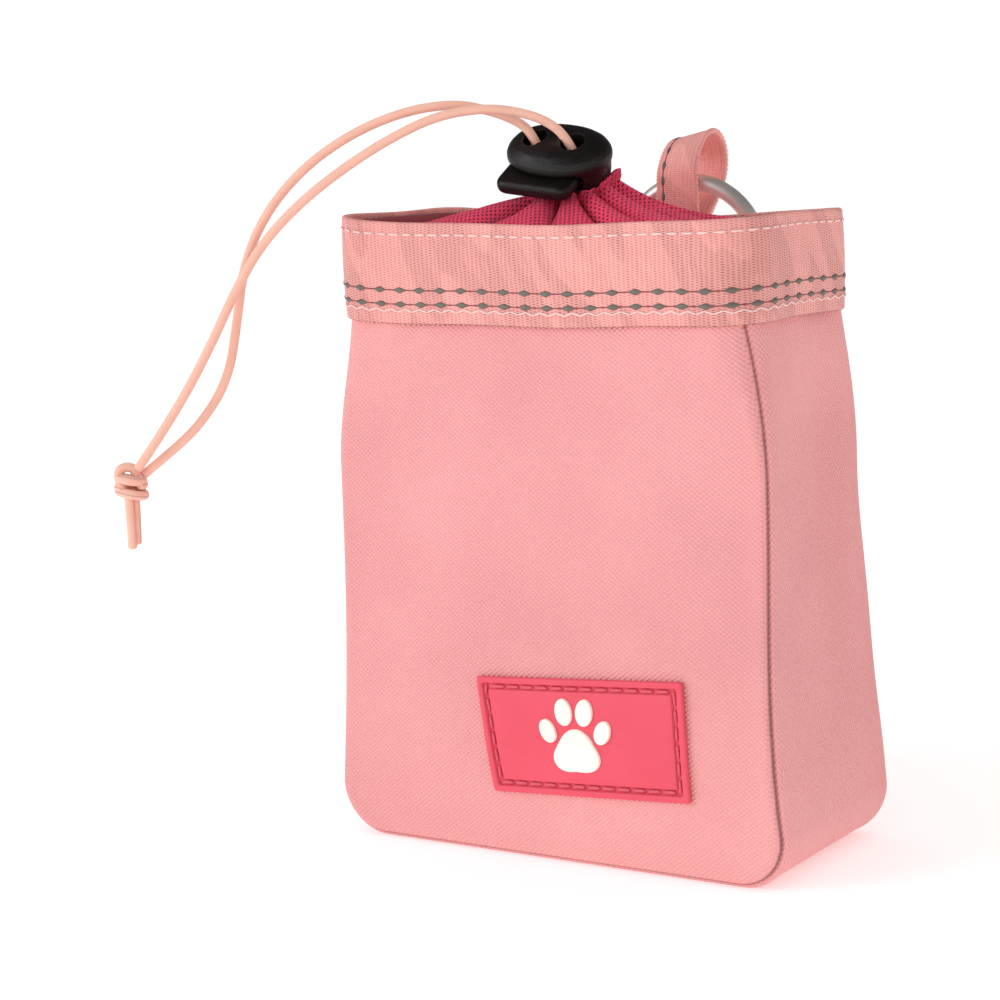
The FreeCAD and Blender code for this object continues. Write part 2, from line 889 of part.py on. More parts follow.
def label_stitching():
    """Separate stitches laid end to end along the groove."""
    long = value("stitch_long")
    step = long + value("stitch_gap")
    thick = value("stitch_thick")
    wide = value("groove_width") / 2
    floor = -value("label_thick - groove_deep")
    inset = "groove_inset + groove_width / 2"
    corners = [Vector(value(x), 0, value(z)) for x, z in label_outline(inset)]
    stitches = []
    for index, start in enumerate(corners):
        side = corners[(index + 1) % len(corners)] - start
        count = int((side.Length - 2 * wide) / step)
        margin = (side.Length - count * step + value("stitch_gap")) / 2
        turn = Rotation(Y, -math.degrees(math.atan2(side.z, side.x)))
        for number in range(count):
            stitch = Part.makeBox(long, thick, wide, Vector(0, -thick, -wide / 2))
            way = Vector(side)
            way.normalize()
            place = start + way * (margin + number * step)
            stitch.Placement = Placement(place + Vector(0, floor, 0), turn)
            stitches.append(stitch)
    thing = doc.addObject("Part::Feature", "label_stitch_row")
    thing.Shape = Part.makeCompound(stitches)
    finish(thing, "label_stitching", label_place())


def label_emblem():
    """A raised paw print: one pad and four toes."""
    toes = []
    for across, up, radius in EMBLEM_MARKS:
        toe = doc.addObject("Part::Cylinder", "emblem_toe")
        bind(toe, Radius=str(radius), Height="emblem_thick")
        toe.Placement = Placement(Vector(0, 0, up), Rotation(X, 90))
        toe.setExpression("Placement.Base.x", formula(f"emblem_x + ({across})"))
        toe.setExpression("Placement.Base.y", formula("-label_thick"))
        toes.append(toe)
    paw = doc.addObject("Part::Compound", "emblem_paw")
    paw.Links = toes
    finish(paw, "label_emblem", label_place())


# ---------------------------------------------------------------- the whole pouch


panel("front_panel", "-(half_depth - fabric)")
panel("back_panel", "half_depth")
gusset()
rounded_ring(
    "rim_band",
    "band_half_width",
    "band_half_depth",
    "band_round",
    "band_thick",
    BAND_FOOT,
    "band_width",
)
rounded_ring(
    "rim_facing",
    "facing_half_width",
    "facing_half_depth",
    "facing_round",
    "facing_thick",
    "pouch_height - facing_width",
    "facing_width",
)
lining()
band_rows()
mesh_collar()
collar_hem()
lock_body()
lock_plunger()
lock_spring()
cord_legs()
strand("drawcord_a", STRAND_A)
strand("drawcord_b", STRAND_B)
cord_knot()
ring_loop()
ring()
label_patch()
label_stitching()
label_emblem()
doc.recompute()

for thing in doc.Objects:
    if "Invalid" in thing.State or "Error" in thing.State:
        raise RuntimeError(f"{thing.Label} failed: {thing.State}")
os.makedirs("parts", exist_ok=True)
for thing in parts:
    shape = thing.Shape
    if shape.isNull() or not shape.isValid():
        raise RuntimeError(f"{thing.Label} has no valid shape")
    shape.exportStep(f"parts/{thing.Label}.step")
    print(f"{thing.Label}: {len(shape.Solids)} solid(s), {shape.Volume:.1f} mm3")
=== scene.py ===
import bmesh
import bpy
import math
import numpy as np
from mathutils import Matrix, Vector


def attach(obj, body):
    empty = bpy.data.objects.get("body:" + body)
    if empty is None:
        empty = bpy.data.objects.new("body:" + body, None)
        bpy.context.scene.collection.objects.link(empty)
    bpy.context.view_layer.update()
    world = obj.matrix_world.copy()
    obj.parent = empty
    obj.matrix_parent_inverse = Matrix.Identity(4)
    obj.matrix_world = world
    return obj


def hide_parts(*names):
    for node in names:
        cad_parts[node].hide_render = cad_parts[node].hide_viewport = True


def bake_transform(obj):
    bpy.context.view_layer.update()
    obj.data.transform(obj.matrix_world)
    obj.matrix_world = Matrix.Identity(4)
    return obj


# Treat pouch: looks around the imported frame. Sizes below are in millimetres, and meshes are made in metres.

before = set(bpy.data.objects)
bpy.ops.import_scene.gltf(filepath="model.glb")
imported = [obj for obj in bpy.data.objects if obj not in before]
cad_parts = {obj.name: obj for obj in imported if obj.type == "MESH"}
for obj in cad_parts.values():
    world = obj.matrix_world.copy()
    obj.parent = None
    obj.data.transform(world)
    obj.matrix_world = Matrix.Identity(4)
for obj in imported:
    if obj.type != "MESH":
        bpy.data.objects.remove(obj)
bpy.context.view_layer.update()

MM = 0.001
TAU = 2 * math.pi
COATED_THICK = 1.0
LINING_THICK = 0.4
KNIT_THICK = 0.5
scene = bpy.context.scene
scene.view_settings.view_transform = "Standard"

# ---------------------------------------------------------------- camera

azimuth, pitch, roll = (math.radians(angle) for angle in (34.025, 8.356, -2.634))
forward = Vector(
    (
        -math.sin(azimuth) * math.cos(pitch),
        math.cos(azimuth) * math.cos(pitch),
        -math.sin(pitch),
    )
)
level = Vector((math.cos(azimuth), math.sin(azimuth), 0))
upright = level.cross(forward)
camera_x = level * math.cos(roll) + upright * math.sin(roll)
camera_y = upright * math.cos(roll) - level * math.sin(roll)
camera = bpy.data.objects.new("camera", bpy.data.cameras.new("camera"))
scene.collection.objects.link(camera)
camera.data.lens = 85.3
camera.data.sensor_width = 36.0
axes = Matrix((camera_x, camera_y, -forward)).transposed()
camera.matrix_world = Matrix.Translation((0.30868, -0.50105, 0.17345)) @ axes.to_4x4()
scene.camera = camera

# ---------------------------------------------------------------- mesh helpers


def smooth(value):
    value = np.clip(value, 0.0, 1.0)
    return value * value * (3 - 2 * value)


def hump(value, centre, width):
    return np.exp(-(((value - centre) / width) ** 2))


def turn_hump(turn, centre, width):
    """A hump at one place of a whole turn."""
    return hump((turn - centre + math.pi) % TAU, math.pi, width)


def ring_shares(count, whole=1.0):
    """Even places round a closed ring, from 0 up to but not including the whole."""
    return np.linspace(0, whole, count, endpoint=False)


def lengths_along(points):
    """The distance travelled along a line at each of its points."""
    return np.concatenate(([0], np.cumsum(np.linalg.norm(np.diff(points, axis=0), axis=1))))


def add_object(name, data):
    thing = bpy.data.objects.new(name, data)
    scene.collection.objects.link(thing)
    return thing


def unit(vectors):
    length = np.linalg.norm(vectors, axis=-1, keepdims=True)
    return vectors / np.maximum(length, 1e-9)


def grid_faces(rows, columns, wrap_rows=False, wrap_columns=False, start=0):
    """Quads over a grid of points that is stored row by row."""
    row, column = np.meshgrid(
        np.arange(rows if wrap_rows else rows - 1), np.arange(columns if wrap_columns else columns - 1),
        indexing="ij"
    )
    row_after = (row + 1) % rows
    column_after = (column + 1) % columns
    quads = np.stack(
        (
            row * columns + column, row * columns + column_after, row_after * columns + column_after,
            row_after * columns + column
        ),
        axis=-1
    )
    return (quads.reshape(-1, 4) + start).tolist()


def closed_faces(rows, columns, start=0):
    """Quads round a stack of rings, with both ends filled."""
    faces = grid_faces(rows, columns, wrap_columns=True, start=start)
    faces.append([start + k for k in range(columns)][::-1])
    faces.append([start + (rows - 1) * columns + k for k in range(columns)])
    return faces


def piece(name, points, faces, look, slot, body=None, replaced=(), cloth=None, flip=False):
    """A smooth mesh object from points in millimetres. cloth holds places along and across the cloth."""
    points = np.asarray(points, float).reshape(-1, 3)
    data = bpy.data.meshes.new(name)
    if flip:
        faces = [face[::-1] for face in faces]
    data.from_pydata((points * MM).tolist(), [], faces)
    data.polygons.foreach_set("use_smooth", [True] * len(data.polygons))
    if cloth is not None:
        layer = data.attributes.new("cloth", "FLOAT_VECTOR", "POINT")
        layer.data.foreach_set("vector", np.asarray(cloth, np.float32).ravel())
    data.materials.append(look)
    thing = add_object(name, data)
    if replaced:
        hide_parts(*replaced)
    if body:
        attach(thing, body)
    return thing


def shape_piece(name, shape, look, slot, body="pouch", replaced=()):
    """A piece from one (points, faces, cloth) shape."""
    return piece(name, *shape[:2], look, slot, body, replaced, shape[2])


def sheet_grid(points, along, across):
    """Cloth places for a grid of points: one number along for each column, one across for each row."""
    rows, columns = points.shape[:2]
    cloth = np.zeros((rows, columns, 3))
    cloth[..., 0] = along
    cloth[..., 1] = across
    return cloth


def thicken(thing, thickness, offset=-1.0):
    solid = thing.modifiers.new("thickness", "SOLIDIFY")
    solid.thickness = thickness * MM
    solid.offset = offset
    return thing


def frames_along(points, closed=False):
    """Tangents and two crosswise directions that don't twist along a line of points."""
    points = np.asarray(points, float)
    if closed:
        tangents = unit(np.roll(points, -1, 0) - np.roll(points, 1, 0))
    else:
        tangents = unit(np.gradient(points, axis=0))
    side = np.cross(tangents[0], (0.0, 0.0, 1.0))
    if np.linalg.norm(side) < 0.1:
        side = np.cross(tangents[0], (0.0, 1.0, 0.0))
    sides = []
    for tangent in tangents:
        side = side - tangent * np.dot(side, tangent)
        side = side / np.linalg.norm(side)
        sides.append(side)
    sides = np.array(sides)
    return tangents, sides, np.cross(tangents, sides)


def tube(points, radius, around=18, round_ends=True):
    """Points, faces and cloth places of a tube with rounded ends."""
    points = np.asarray(points, float)
    tangents, sides, ups = frames_along(points)
    radii = np.full(len(points), float(radius)) if np.isscalar(radius) else np.asarray(radius, float)
    travelled = lengths_along(points)
    centres, scales, places, s_side, s_up = [], [], [], [], []
    caps = np.radians((8, 30, 55, 78)) if round_ends else np.radians((89,))

    def add(centre, scale, place, index):
        centres.append(centre)
        scales.append(scale)
        places.append(place)
        s_side.append(sides[index])
        s_up.append(ups[index])

    for angle in caps:
        bulge = radii[0] * math.cos(angle) * 0.6
        add(points[0] - tangents[0] * bulge, radii[0] * math.sin(angle), -bulge, 0)
    for index, centre in enumerate(points):
        add(centre, radii[index], travelled[index], index)
    for angle in caps[::-1]:
        bulge = radii[-1] * math.cos(angle) * 0.6
        add(points[-1] + tangents[-1] * bulge, radii[-1] * math.sin(angle), travelled[-1] + bulge, -1)
    turn = ring_shares(around, TAU)
    ring = (
        np.cos(turn)[None, :, None] * np.array(s_side)[:, None, :]
        + np.sin(turn)[None, :, None] * np.array(s_up)[:, None, :]
    )
    scales = np.array(scales)
    grid = np.array(centres)[:, None, :] + ring * scales[:, None, None]
    rows = len(scales)
    cloth = sheet_grid(grid, turn[None, :] * float(np.mean(radii)), np.array(places)[:, None])
    return grid.reshape(-1, 3), closed_faces(rows, around), cloth.reshape(-1, 3)


def merged(shapes):
    """Several (points, faces, cloth) shapes as one."""
    points, faces, cloth, count = [], [], [], 0
    for shape_points, shape_faces, shape_cloth in shapes:
        points.append(shape_points)
        cloth.append(shape_cloth)
        faces += [[index + count for index in face] for face in shape_faces]
        count += len(shape_points)
    return np.concatenate(points), faces, np.concatenate(cloth)


def beads(centres, tangents, normals, long, wide, tall, blunt=2.0, around=8, rings=7, point=0.5):
    """One rounded stitch at each centre, lying along its tangent and bulging along its normal."""
    centres, tangents, normals = (np.asarray(x, float) for x in (centres, tangents, normals))
    sides = np.cross(normals, tangents)
    step = np.linspace(-1, 1, rings)
    girth = (1 - np.abs(step) ** blunt * 0.92) ** point
    turn = ring_shares(around, TAU)
    count = len(centres)
    shape = np.zeros((count, rings, around, 3))
    shape += centres[:, None, None, :]
    shape += (step * long / 2)[None, :, None, None] * tangents[:, None, None, :]
    shape += (girth[:, None] * np.cos(turn) * wide / 2)[None, :, :, None] * sides[:, None, None, :]
    shape += (girth[:, None] * np.sin(turn) * tall / 2)[None, :, :, None] * normals[:, None, None, :]
    cloth = np.zeros_like(shape)
    cloth[..., 0] = step[None, :, None] * long / 2 + np.arange(count)[:, None, None] * long
    cloth[..., 1] = (turn * wide / 2)[None, None, :]
    faces = []
    for index in range(count):
        faces += closed_faces(rings, around, index * rings * around)
    return shape.reshape(-1, 3), faces, cloth.reshape(-1, 3)


def even(points, spacing, closed=False):
    """The same line with points an even distance apart."""
    points = np.asarray(points, float)
    if closed:
        points = np.concatenate((points, points[:1]))
    run = lengths_along(points)
    count = max(3, int(round(run[-1] / spacing)) + 1)
    places = np.linspace(0, run[-1], count)
    if closed:
        places = places[:-1]
    return np.stack([np.interp(places, run, points[:, k]) for k in range(points.shape[1])], 1)


# ---------------------------------------------------------------- materials


def srgb(*levels):
    """A colour from 0 to 255 levels."""
    linear = []
    for level_value in levels:
        part = level_value / 255
        linear.append(part / 12.92 if part <= 0.04045 else ((part + 0.055) / 1.055) ** 2.4)
    return (*linear, 1.0)


class Look:
    """A node material while it is being made."""

    def __init__(self, name, **finish):
        self.material = bpy.data.materials.new(name)
        self.material.use_nodes = True
        self.tree = self.material.node_tree
        self.shader = self.tree.nodes["Principled BSDF"]
        self.set(**finish)

    def put(self, socket, value):
        if isinstance(value, bpy.types.NodeSocket):
            self.tree.links.new(value, socket)
        else:
            socket.default_value = value

    def set(self, **finish):
        for name, value in finish.items():
            self.put(self.shader.inputs[name.replace("_", " ")], value)
        return self

    def node(self, kind, inputs=(), output=0, **settings):
        node = self.tree.nodes.new("ShaderNode" + kind)
        for name, value in settings.items():
            setattr(node, name, value)
        for key, value in dict(inputs).items():
            self.put(node.inputs[key], value)
        return node.outputs[output]

    def math(self, operation, *values):
        return self.node("Math", enumerate(values), operation=operation)

    def times(self, first, second):
        return self.math("MULTIPLY", first, second)

    def times_plus(self, value, factor, more):
        return self.math("MULTIPLY_ADD", value, factor, more)

    def cloth(self):
        """Places along and across the cloth, in millimetres, and a third number from 0 to 1 for its folds and
        seams, which the knit and coated cloth use for painted shade in their creases and seams.
        """
        place = self.node("Attribute", output="Vector", attribute_name="cloth")
        split = self.tree.nodes.new("ShaderNodeSeparateXYZ")
        self.tree.links.new(place, split.inputs[0])
        return split.outputs

    def place(self, along=1.0, across=1.0, rise=1.0):
        """The place in space, stretched along an axis by a number under 1."""
        space = self.node("TexCoord", output="Object")
        return self.node("VectorMath", {0: space, 1: (along, across, rise)}, operation="MULTIPLY")

    def noise(self, scale, detail=3.0, roughness=0.5, place=None):
        """Cloudy values about one half. scale counts features to a metre."""
        inputs = {"Vector": place or self.place(), "Scale": scale, "Detail": detail, "Roughness": roughness}
        return self.node("TexNoise", inputs)

    def fit(self, value, low, high, new_low=0.0, new_high=1.0):
        inputs = {"Value": value, 1: low, 2: high, 3: new_low, 4: new_high}
        return self.node("MapRange", inputs, clamp=True)

    def wave(self, value, pitch, shift=0.0):
        """A cosine of a place along the cloth, from -1 to 1."""
        turned = self.times_plus(value, TAU / pitch, shift)
        return self.math("COSINE", turned)

    def mix(self, factor, first, second):
        inputs = {"Factor": factor, 6: first, 7: second}
        return self.node("Mix", inputs, output=2, data_type="RGBA")

    def shade(self, colour, factor):
        """A colour made darker or lighter by a factor about 1."""
        grey = self.node("CombineXYZ", {0: factor, 1: factor, 2: factor})
        colour = colour[:3] if isinstance(colour, tuple) else colour
        return self.node("VectorMath", {0: colour, 1: grey}, operation="MULTIPLY")

    def bump(self, height, depth):
        """Surface relief from a height of 0 to 1. depth is in millimetres."""
        inputs = {"Height": height, "Distance": depth * MM, "Strength": 1.0}
        normal = self.node("Bump", inputs)
        self.put(self.shader.inputs["Normal"], normal)
        return self


def coated_fabric():
    """Polyurethane-coated cloth with an embossed diamond weave."""
    look = Look("coated_fabric", Roughness=0.52, Sheen_Weight=0.04, Sheen_Roughness=0.4)
    u, v, seam = look.cloth()
    wobble = look.times(look.noise(260.0, 2.0), 0.16)
    first = look.wave(look.math("ADD", u, wobble), 1.5)
    second = look.wave(v, 1.16)
    weave = look.times_plus(look.times(first, second), 0.5, 0.5)
    cloud = look.noise(22.0, 3.0)
    fine = look.noise(2600.0, 2.0)
    height = look.times_plus(fine, 0.2, weave)
    tone = look.times_plus(weave, 0.12, look.fit(cloud, 0.3, 0.7, 0.91, 0.98))
    # Painted shade along the seams: the colour darkens to 0.42 of itself where the cloth dips into the
    # stitched crease.
    tone = look.times(tone, look.fit(seam, 0.1, 1.0, 1.0, 0.42))
    base = look.mix(look.fit(cloud, 0.35, 0.65), srgb(241, 162, 161), srgb(245, 168, 166))
    gloss = look.times_plus(weave, -0.1, look.fit(fine, 0.3, 0.7, 0.50, 0.6))
    look.set(Base_Color=look.shade(base, tone), Roughness=gloss, Specular_IOR_Level=0.34)
    return look.bump(height, 0.3).material


def webbing(name, light, dark, contrast):
    """Satin webbing: columns of short dark gaps between the floats, in patches that turn with the weave."""
    look = Look(name, Roughness=0.45, Sheen_Weight=0.1, Sheen_Roughness=0.35)
    u, v = look.cloth()[:2]
    drift = look.times(look.noise(260.0, 2.0), 0.9)
    column = look.wave(look.math("ADD", u, drift), 2.4)
    float_row = look.wave(v, 0.62)
    gap = look.fit(look.times(column, float_row), 0.2, 0.85)
    slant = look.times_plus(v, 0.42, u)
    patch_place = look.node("CombineXYZ", {0: slant, 1: look.times(v, 0.35), 2: 0.0})
    broad = look.noise(0.09, 1.5, 0.4, patch_place)
    narrow = look.noise(0.24, 1.0, 0.4, patch_place)
    patch = look.times_plus(look.fit(narrow, 0.52, 0.545), 0.45, look.fit(broad, 0.48, 0.505))
    depth = look.fit(patch, 0.0, 1.2, contrast, contrast * 0.6)
    fibre = look.noise(5200.0, 2.0)
    ladder = look.times(look.fit(float_row, -1.0, 1.0), 0.3)
    shadow = look.times_plus(ladder, 0.4, gap)
    colour = look.mix(look.times(shadow, depth), light, dark)
    colour = look.shade(colour, look.fit(patch, 0.0, 1.45, 0.9, 1.06))
    height = look.math("SUBTRACT", 1.2, look.math("ADD", gap, ladder))
    height = look.times_plus(fibre, 0.2, height)
    look.set(Base_Color=colour, Roughness=look.fit(fibre, 0.3, 0.7, 0.38, 0.55))
    return look.bump(height, 0.11).material


def thread(name, colour, gloss=0.5, twist=0.75):
    """Sewing thread with a visible twist."""
    look = Look(name, Roughness=gloss, Sheen_Weight=0.2)
    u, v = look.cloth()[:2]
    ply = look.wave(look.times_plus(v, 0.8, u), twist)
    ply = look.times_plus(ply, 0.5, 0.5)
    tone = look.times_plus(look.noise(900.0, 2.0), 0.2, look.fit(ply, 0.0, 1.0, 0.78, 0.98))
    look.set(Base_Color=look.shade(colour, tone))
    return look.bump(ply, 0.08).material


def reflective():
    """Grey yarn coated with tiny glass beads."""
    look = Look("reflective_yarn", Roughness=0.42, Metallic=0.1)
    grain = look.noise(7000.0, 2.0, 0.7)
    base = look.mix(look.fit(grain, 0.35, 0.7), srgb(88, 80, 73), srgb(134, 125, 115))
    look.set(Base_Color=base, Roughness=look.fit(grain, 0.3, 0.7, 0.32, 0.55))
    return look.bump(grain, 0.05).material


def knit():
    """Soft warp-knitted mesh in raspberry, with a small hole between every four loops, and painted shade in
    the creases of its folds.
    """
    look = Look("knit_mesh", Roughness=0.8, Sheen_Weight=0.3, Sheen_Roughness=0.45)
    look.set(Sheen_Tint=srgb(255, 120, 140))
    u, v, ridge = look.cloth()
    rib = look.wave(u, 1.05)
    row = look.math("ADD", v, look.times(look.math("PINGPONG", u, 0.49), 0.9))
    stitch = look.wave(row, 1.15)
    hole = look.times(look.fit(rib, -0.5, 0.7), look.fit(stitch, -0.5, 0.7))
    loop = look.math("SUBTRACT", 1.0, hole)
    shade = look.fit(look.noise(170.0, 3.0), 0.3, 0.7)
    base = look.mix(loop, srgb(112, 10, 38), srgb(236, 62, 100))
    base = look.shade(base, look.fit(shade, 0.0, 1.0, 0.88, 1.08))
    # Painted shade in the creases of the gathered folds: the colour drops to 0.4 of itself where the cloth's
    # third number is low.
    base = look.shade(base, look.fit(ridge, 0.1, 0.65, 0.4, 1.06))
    fuzz = look.noise(6000.0, 2.0, 0.7)
    look.set(Base_Color=base)
    return look.bump(look.times_plus(fuzz, 0.3, loop), 0.2).material


def lining_cloth():
    """Thin woven nylon."""
    look = Look("lining_fabric", Roughness=0.55, Sheen_Weight=0.2)
    u, v = look.cloth()[:2]
    weave = look.times(look.wave(u, 0.5), look.wave(v, 0.5))
    weave = look.times_plus(weave, 0.5, 0.5)
    wrinkle = look.noise(60.0, 4.0)
    tone = look.times_plus(weave, 0.08, look.fit(wrinkle, 0.3, 0.7, 0.86, 1.0))
    look.set(Base_Color=look.shade(srgb(150, 60, 68), tone))
    return look.bump(look.times_plus(wrinkle, 3.0, weave), 0.06).material


def elastic():
    """Round elastic cord with a fine braided cover."""
    look = Look("elastic_cord", Roughness=0.62, Sheen_Weight=0.35, Sheen_Roughness=0.4)
    u, v = look.cloth()[:2]
    right_lay = look.wave(look.math("ADD", u, v), 0.62)
    left_lay = look.wave(look.math("SUBTRACT", u, v), 0.62)
    braid = look.math("MAXIMUM", right_lay, left_lay)
    braid = look.times_plus(braid, 0.5, 0.5)
    fibre = look.noise(6000.0, 2.0)
    base = look.mix(look.fit(braid, 0.1, 0.9), srgb(244, 172, 150), srgb(255, 202, 180))
    tone = look.fit(look.noise(150.0, 2.0), 0.3, 0.7, 0.95, 1.03)
    look.set(Base_Color=look.shade(base, tone))
    return look.bump(look.times_plus(fibre, 0.3, braid), 0.07).material


def moulded():
    """Black acetal with a fine spark-eroded grain."""
    look = Look("lock_plastic", Specular_IOR_Level=0.42)
    grain = look.noise(1500.0, 3.0, 0.65)
    worn = look.noise(210.0, 3.0)
    base = look.mix(look.fit(worn, 0.35, 0.7), srgb(14, 10, 9), srgb(22, 16, 14))
    rough = look.times_plus(grain, 0.16, look.fit(worn, 0.3, 0.7, 0.3, 0.38))
    look.set(Base_Color=base, Roughness=rough)
    return look.bump(grain, 0.13).material


def satin_metal(name, colour, low, high, metallic=1.0):
    """Drawn metal with fine scratches along it and dull patches."""
    look = Look(name, Metallic=metallic)
    scratch = look.noise(1500.0, 3.0, 0.6, look.place(1.0, 3.0, 1.0))
    patch = look.noise(140.0, 3.0)
    base = look.shade(colour, look.fit(patch, 0.3, 0.7, 0.9, 1.02))
    rough = look.times_plus(scratch, 0.12, look.fit(patch, 0.3, 0.7, low, high))
    look.set(Base_Color=base, Roughness=rough)
    return look.bump(scratch, 0.012).material


def rubber(name, colour, second):
    """Moulded soft rubber: fine grain, a little bloom."""
    look = Look(name, Specular_IOR_Level=0.4)
    grain = look.noise(3200.0, 2.0, 0.6)
    cloud = look.noise(70.0, 3.0)
    base = look.mix(look.fit(cloud, 0.35, 0.65), colour, second)
    rough = look.times_plus(grain, 0.14, look.fit(cloud, 0.3, 0.7, 0.42, 0.52))
    look.set(Base_Color=base, Roughness=rough)
    return look.bump(grain, 0.03).material


COATED = coated_fabric()
WEBBING = webbing("webbing", srgb(243, 168, 159), srgb(180, 68, 70), 0.66)
WEBBING_LOOP = webbing("webbing_loop", srgb(255, 176, 167), srgb(196, 92, 92), 0.4)
LINING = lining_cloth()
KNIT = knit()
CORD = elastic()
PLASTIC = moulded()
STEEL = satin_metal("spring_steel", srgb(196, 196, 198), 0.22, 0.34)
NICKEL = satin_metal("nickel", srgb(246, 242, 236), 0.36, 0.5, 0.8)
RUBBER = rubber("label_rubber", srgb(230, 78, 97), srgb(234, 84, 103))
CREAM = rubber("label_cream", srgb(252, 244, 228), srgb(255, 250, 238))
PALE_THREAD = thread("pale_thread", srgb(255, 216, 208))
RED_THREAD = thread("red_thread", srgb(230, 84, 104))
DARK_RED_THREAD = thread("dark_red_thread", srgb(158, 46, 54))
REFLECTIVE = reflective()

# ---------------------------------------------------------------- drawcord

# The strands' route: distance out from the lock, distance towards the front right, height.
STRAND_A = (
    (5.6, 0.3, 174.5), (7.3, 0.1, 178.3), (10.8, -0.4, 180.9), (16.6, -0.9, 183.4), (25.4, -1.2, 185.6),
    (38.0, -1.3, 184.2), (51.0, -1.3, 179.4), (63.0, -1.4, 171.8), (73.0, -1.4, 161.2), (79.2, -1.5, 148.5),
    (81.6, -1.5, 134.6), (84.6, -1.5, 120.6), (92.4, -1.4, 109.4), (101.8, -1.3, 101.8), (107.0, -1.2, 98.0)
)
STRAND_B = (
    (-3.0, 4.8, 172.5), (-1.2, 4.7, 176.3), (2.6, 4.5, 179.9), (8.4, 4.2, 182.4), (17.5, 3.9, 184.1),
    (29.5, 3.6, 182.8), (41.0, 3.3, 178.0), (53.0, 3.0, 171.2), (64.5, 2.7, 163.0), (74.5, 2.4, 153.2),
    (81.5, 2.1, 142.0), (88.0, 1.9, 129.6), (95.0, 1.7, 117.8), (102.4, 1.4, 107.2), (108.0, 1.2, 99.8)
)
LOCK = np.array((-3.0, -6.0, 170.4))
CORD_RADIUS = 1.15
KNOT_OUT = 110.2
KNOT_HEIGHT = 95.2
bearing = math.radians(34)
OUTWARD = np.array((-math.cos(bearing), -math.sin(bearing), 0.0))
ASIDE = np.array((math.sin(bearing), -math.cos(bearing), 0.0))


def strand_point(out, aside, height):
    point = LOCK + OUTWARD * out + ASIDE * aside
    return np.array((point[0], point[1], height))


def spline_points(route, resolution=14):
    """Points along the smooth line that the control points give, in millimetres."""
    curve = bpy.data.curves.new("route", "CURVE")
    curve.dimensions = "3D"
    spline = curve.splines.new("NURBS")
    spline.points.add(len(route) - 1)
    for control, place in zip(spline.points, route):
        control.co = (*(np.asarray(place) * MM), 1.0)
    spline.order_u = 3
    spline.use_endpoint_u = True
    spline.resolution_u = resolution
    holder = add_object("route", curve)
    read = bpy.data.meshes.new_from_object(holder)
    points = np.array([vertex.co for vertex in read.vertices]) / MM
    bpy.data.objects.remove(holder)
    bpy.data.meshes.remove(read)
    return points


def cord_piece(name, lines, replaced, body="cord_lock", radius=CORD_RADIUS):
    shape = merged([tube(line, radius) for line in lines])
    return shape_piece(name, shape, CORD, "elastic_cord", body, replaced)


line_a = spline_points([strand_point(*place) for place in STRAND_A])
line_b = spline_points([strand_point(*place) for place in STRAND_B])
strand_a = cord_piece("strand_a", [line_a], ["drawcord_a"])
strand_b = cord_piece("strand_b", [line_b], ["drawcord_b"])

# The knot: two tilted wraps, a bight over the top and the two cut ends.
knot_centre = strand_point(KNOT_OUT, 0.0, KNOT_HEIGHT)


def knot_place(out, aside, rise):
    return knot_centre + OUTWARD * out + ASIDE * aside + np.array((0.0, 0.0, rise))


def knot_line(*places):
    return spline_points([knot_place(*place) for place in places])


def wrap(middle, tilt, radius, turns=1.08, start=0.0):
    """A turn of cord round the strands. It tilts down towards the lock's side."""
    line = []
    for step in np.linspace(0, turns, 44):
        angle = start + step * TAU
        out, side = radius * math.cos(angle), radius * 0.92 * math.sin(angle)
        line.append(knot_place(out, side, middle + tilt * math.cos(angle) + 0.9 * (step - 0.5)))
    return line


wrap_upper = wrap(1.5, 0.75, 2.95, start=2.6)
wrap_lower = wrap(-1.3, 0.9, 3.1, start=0.4)
bight = knot_line(
    (1.9, 0.5, -0.5), (3.0, 0.9, 2.2), (2.6, 0.9, 4.5), (0.4, 0.6, 5.2), (-1.6, 0.3, 4.0), (-1.4, -0.2, 1.0)
)
knot = cord_piece("knot", [wrap_upper, wrap_lower, bight], ["cord_knot"], radius=1.2)
tail_left = knot_line((0.6, 1.0, -1.0), (0.65, 1.05, -6.0), (0.45, 1.1, -11.0), (0.6, 1.1, -15.0))
tail_right = knot_line((-0.5, -0.9, -1.0), (-0.6, -0.95, -6.0), (-0.45, -0.9, -11.0), (-0.35, -0.9, -14.2))
tails = cord_piece("tails", [tail_left, tail_right], ["cord_tails"])

# ---------------------------------------------------------------- bag

BODY_TOP = 136.0
CORNER = 13.0
width_curve = np.polyfit((13, 35, 60, 90, 110, 136), (64.4, 62.6, 61.9, 62.1, 61.7, 58.6), 4)
depth_curve = np.polyfit((0, 20, 50, 70, 92, 110, 136), (28.2, 28.8, 28.2, 27.0, 26.1, 26.5, 27.8), 4)


def half_width(z):
    return np.polyval(width_curve, np.maximum(z, CORNER))


def half_depth(z):
    return np.polyval(depth_curve, z)


def back_pull(z):
    """How far the back panel is drawn in where the sides fold, and pushed out low down."""
    return 4.0 * hump(z, 92, 24) - 1.2 * hump(z, 24, 16)


def edge_round(z):
    """Radius of the fold at the seams. It opens out where the bag meets its round rim."""
    return 2.6 + 8.4 * smooth((z - 96) / 38)


def edge_inset(z):
    """How far in from the square corner the seam lies."""
    return edge_round(z) * (1 - math.sqrt(0.5))


def outline_distance(x, z):
    """Distance from a place on a panel to the bag's outline as seen from the front."""
    wide = half_width(z)
    square = np.minimum(wide - np.abs(x), z + 0.0 * x)
    in_corner = (np.abs(x) > wide - CORNER) & (z < CORNER)
    reach = np.hypot(np.abs(x) - (wide - CORNER), CORNER - z)
    return np.where(in_corner, CORNER - reach, square)


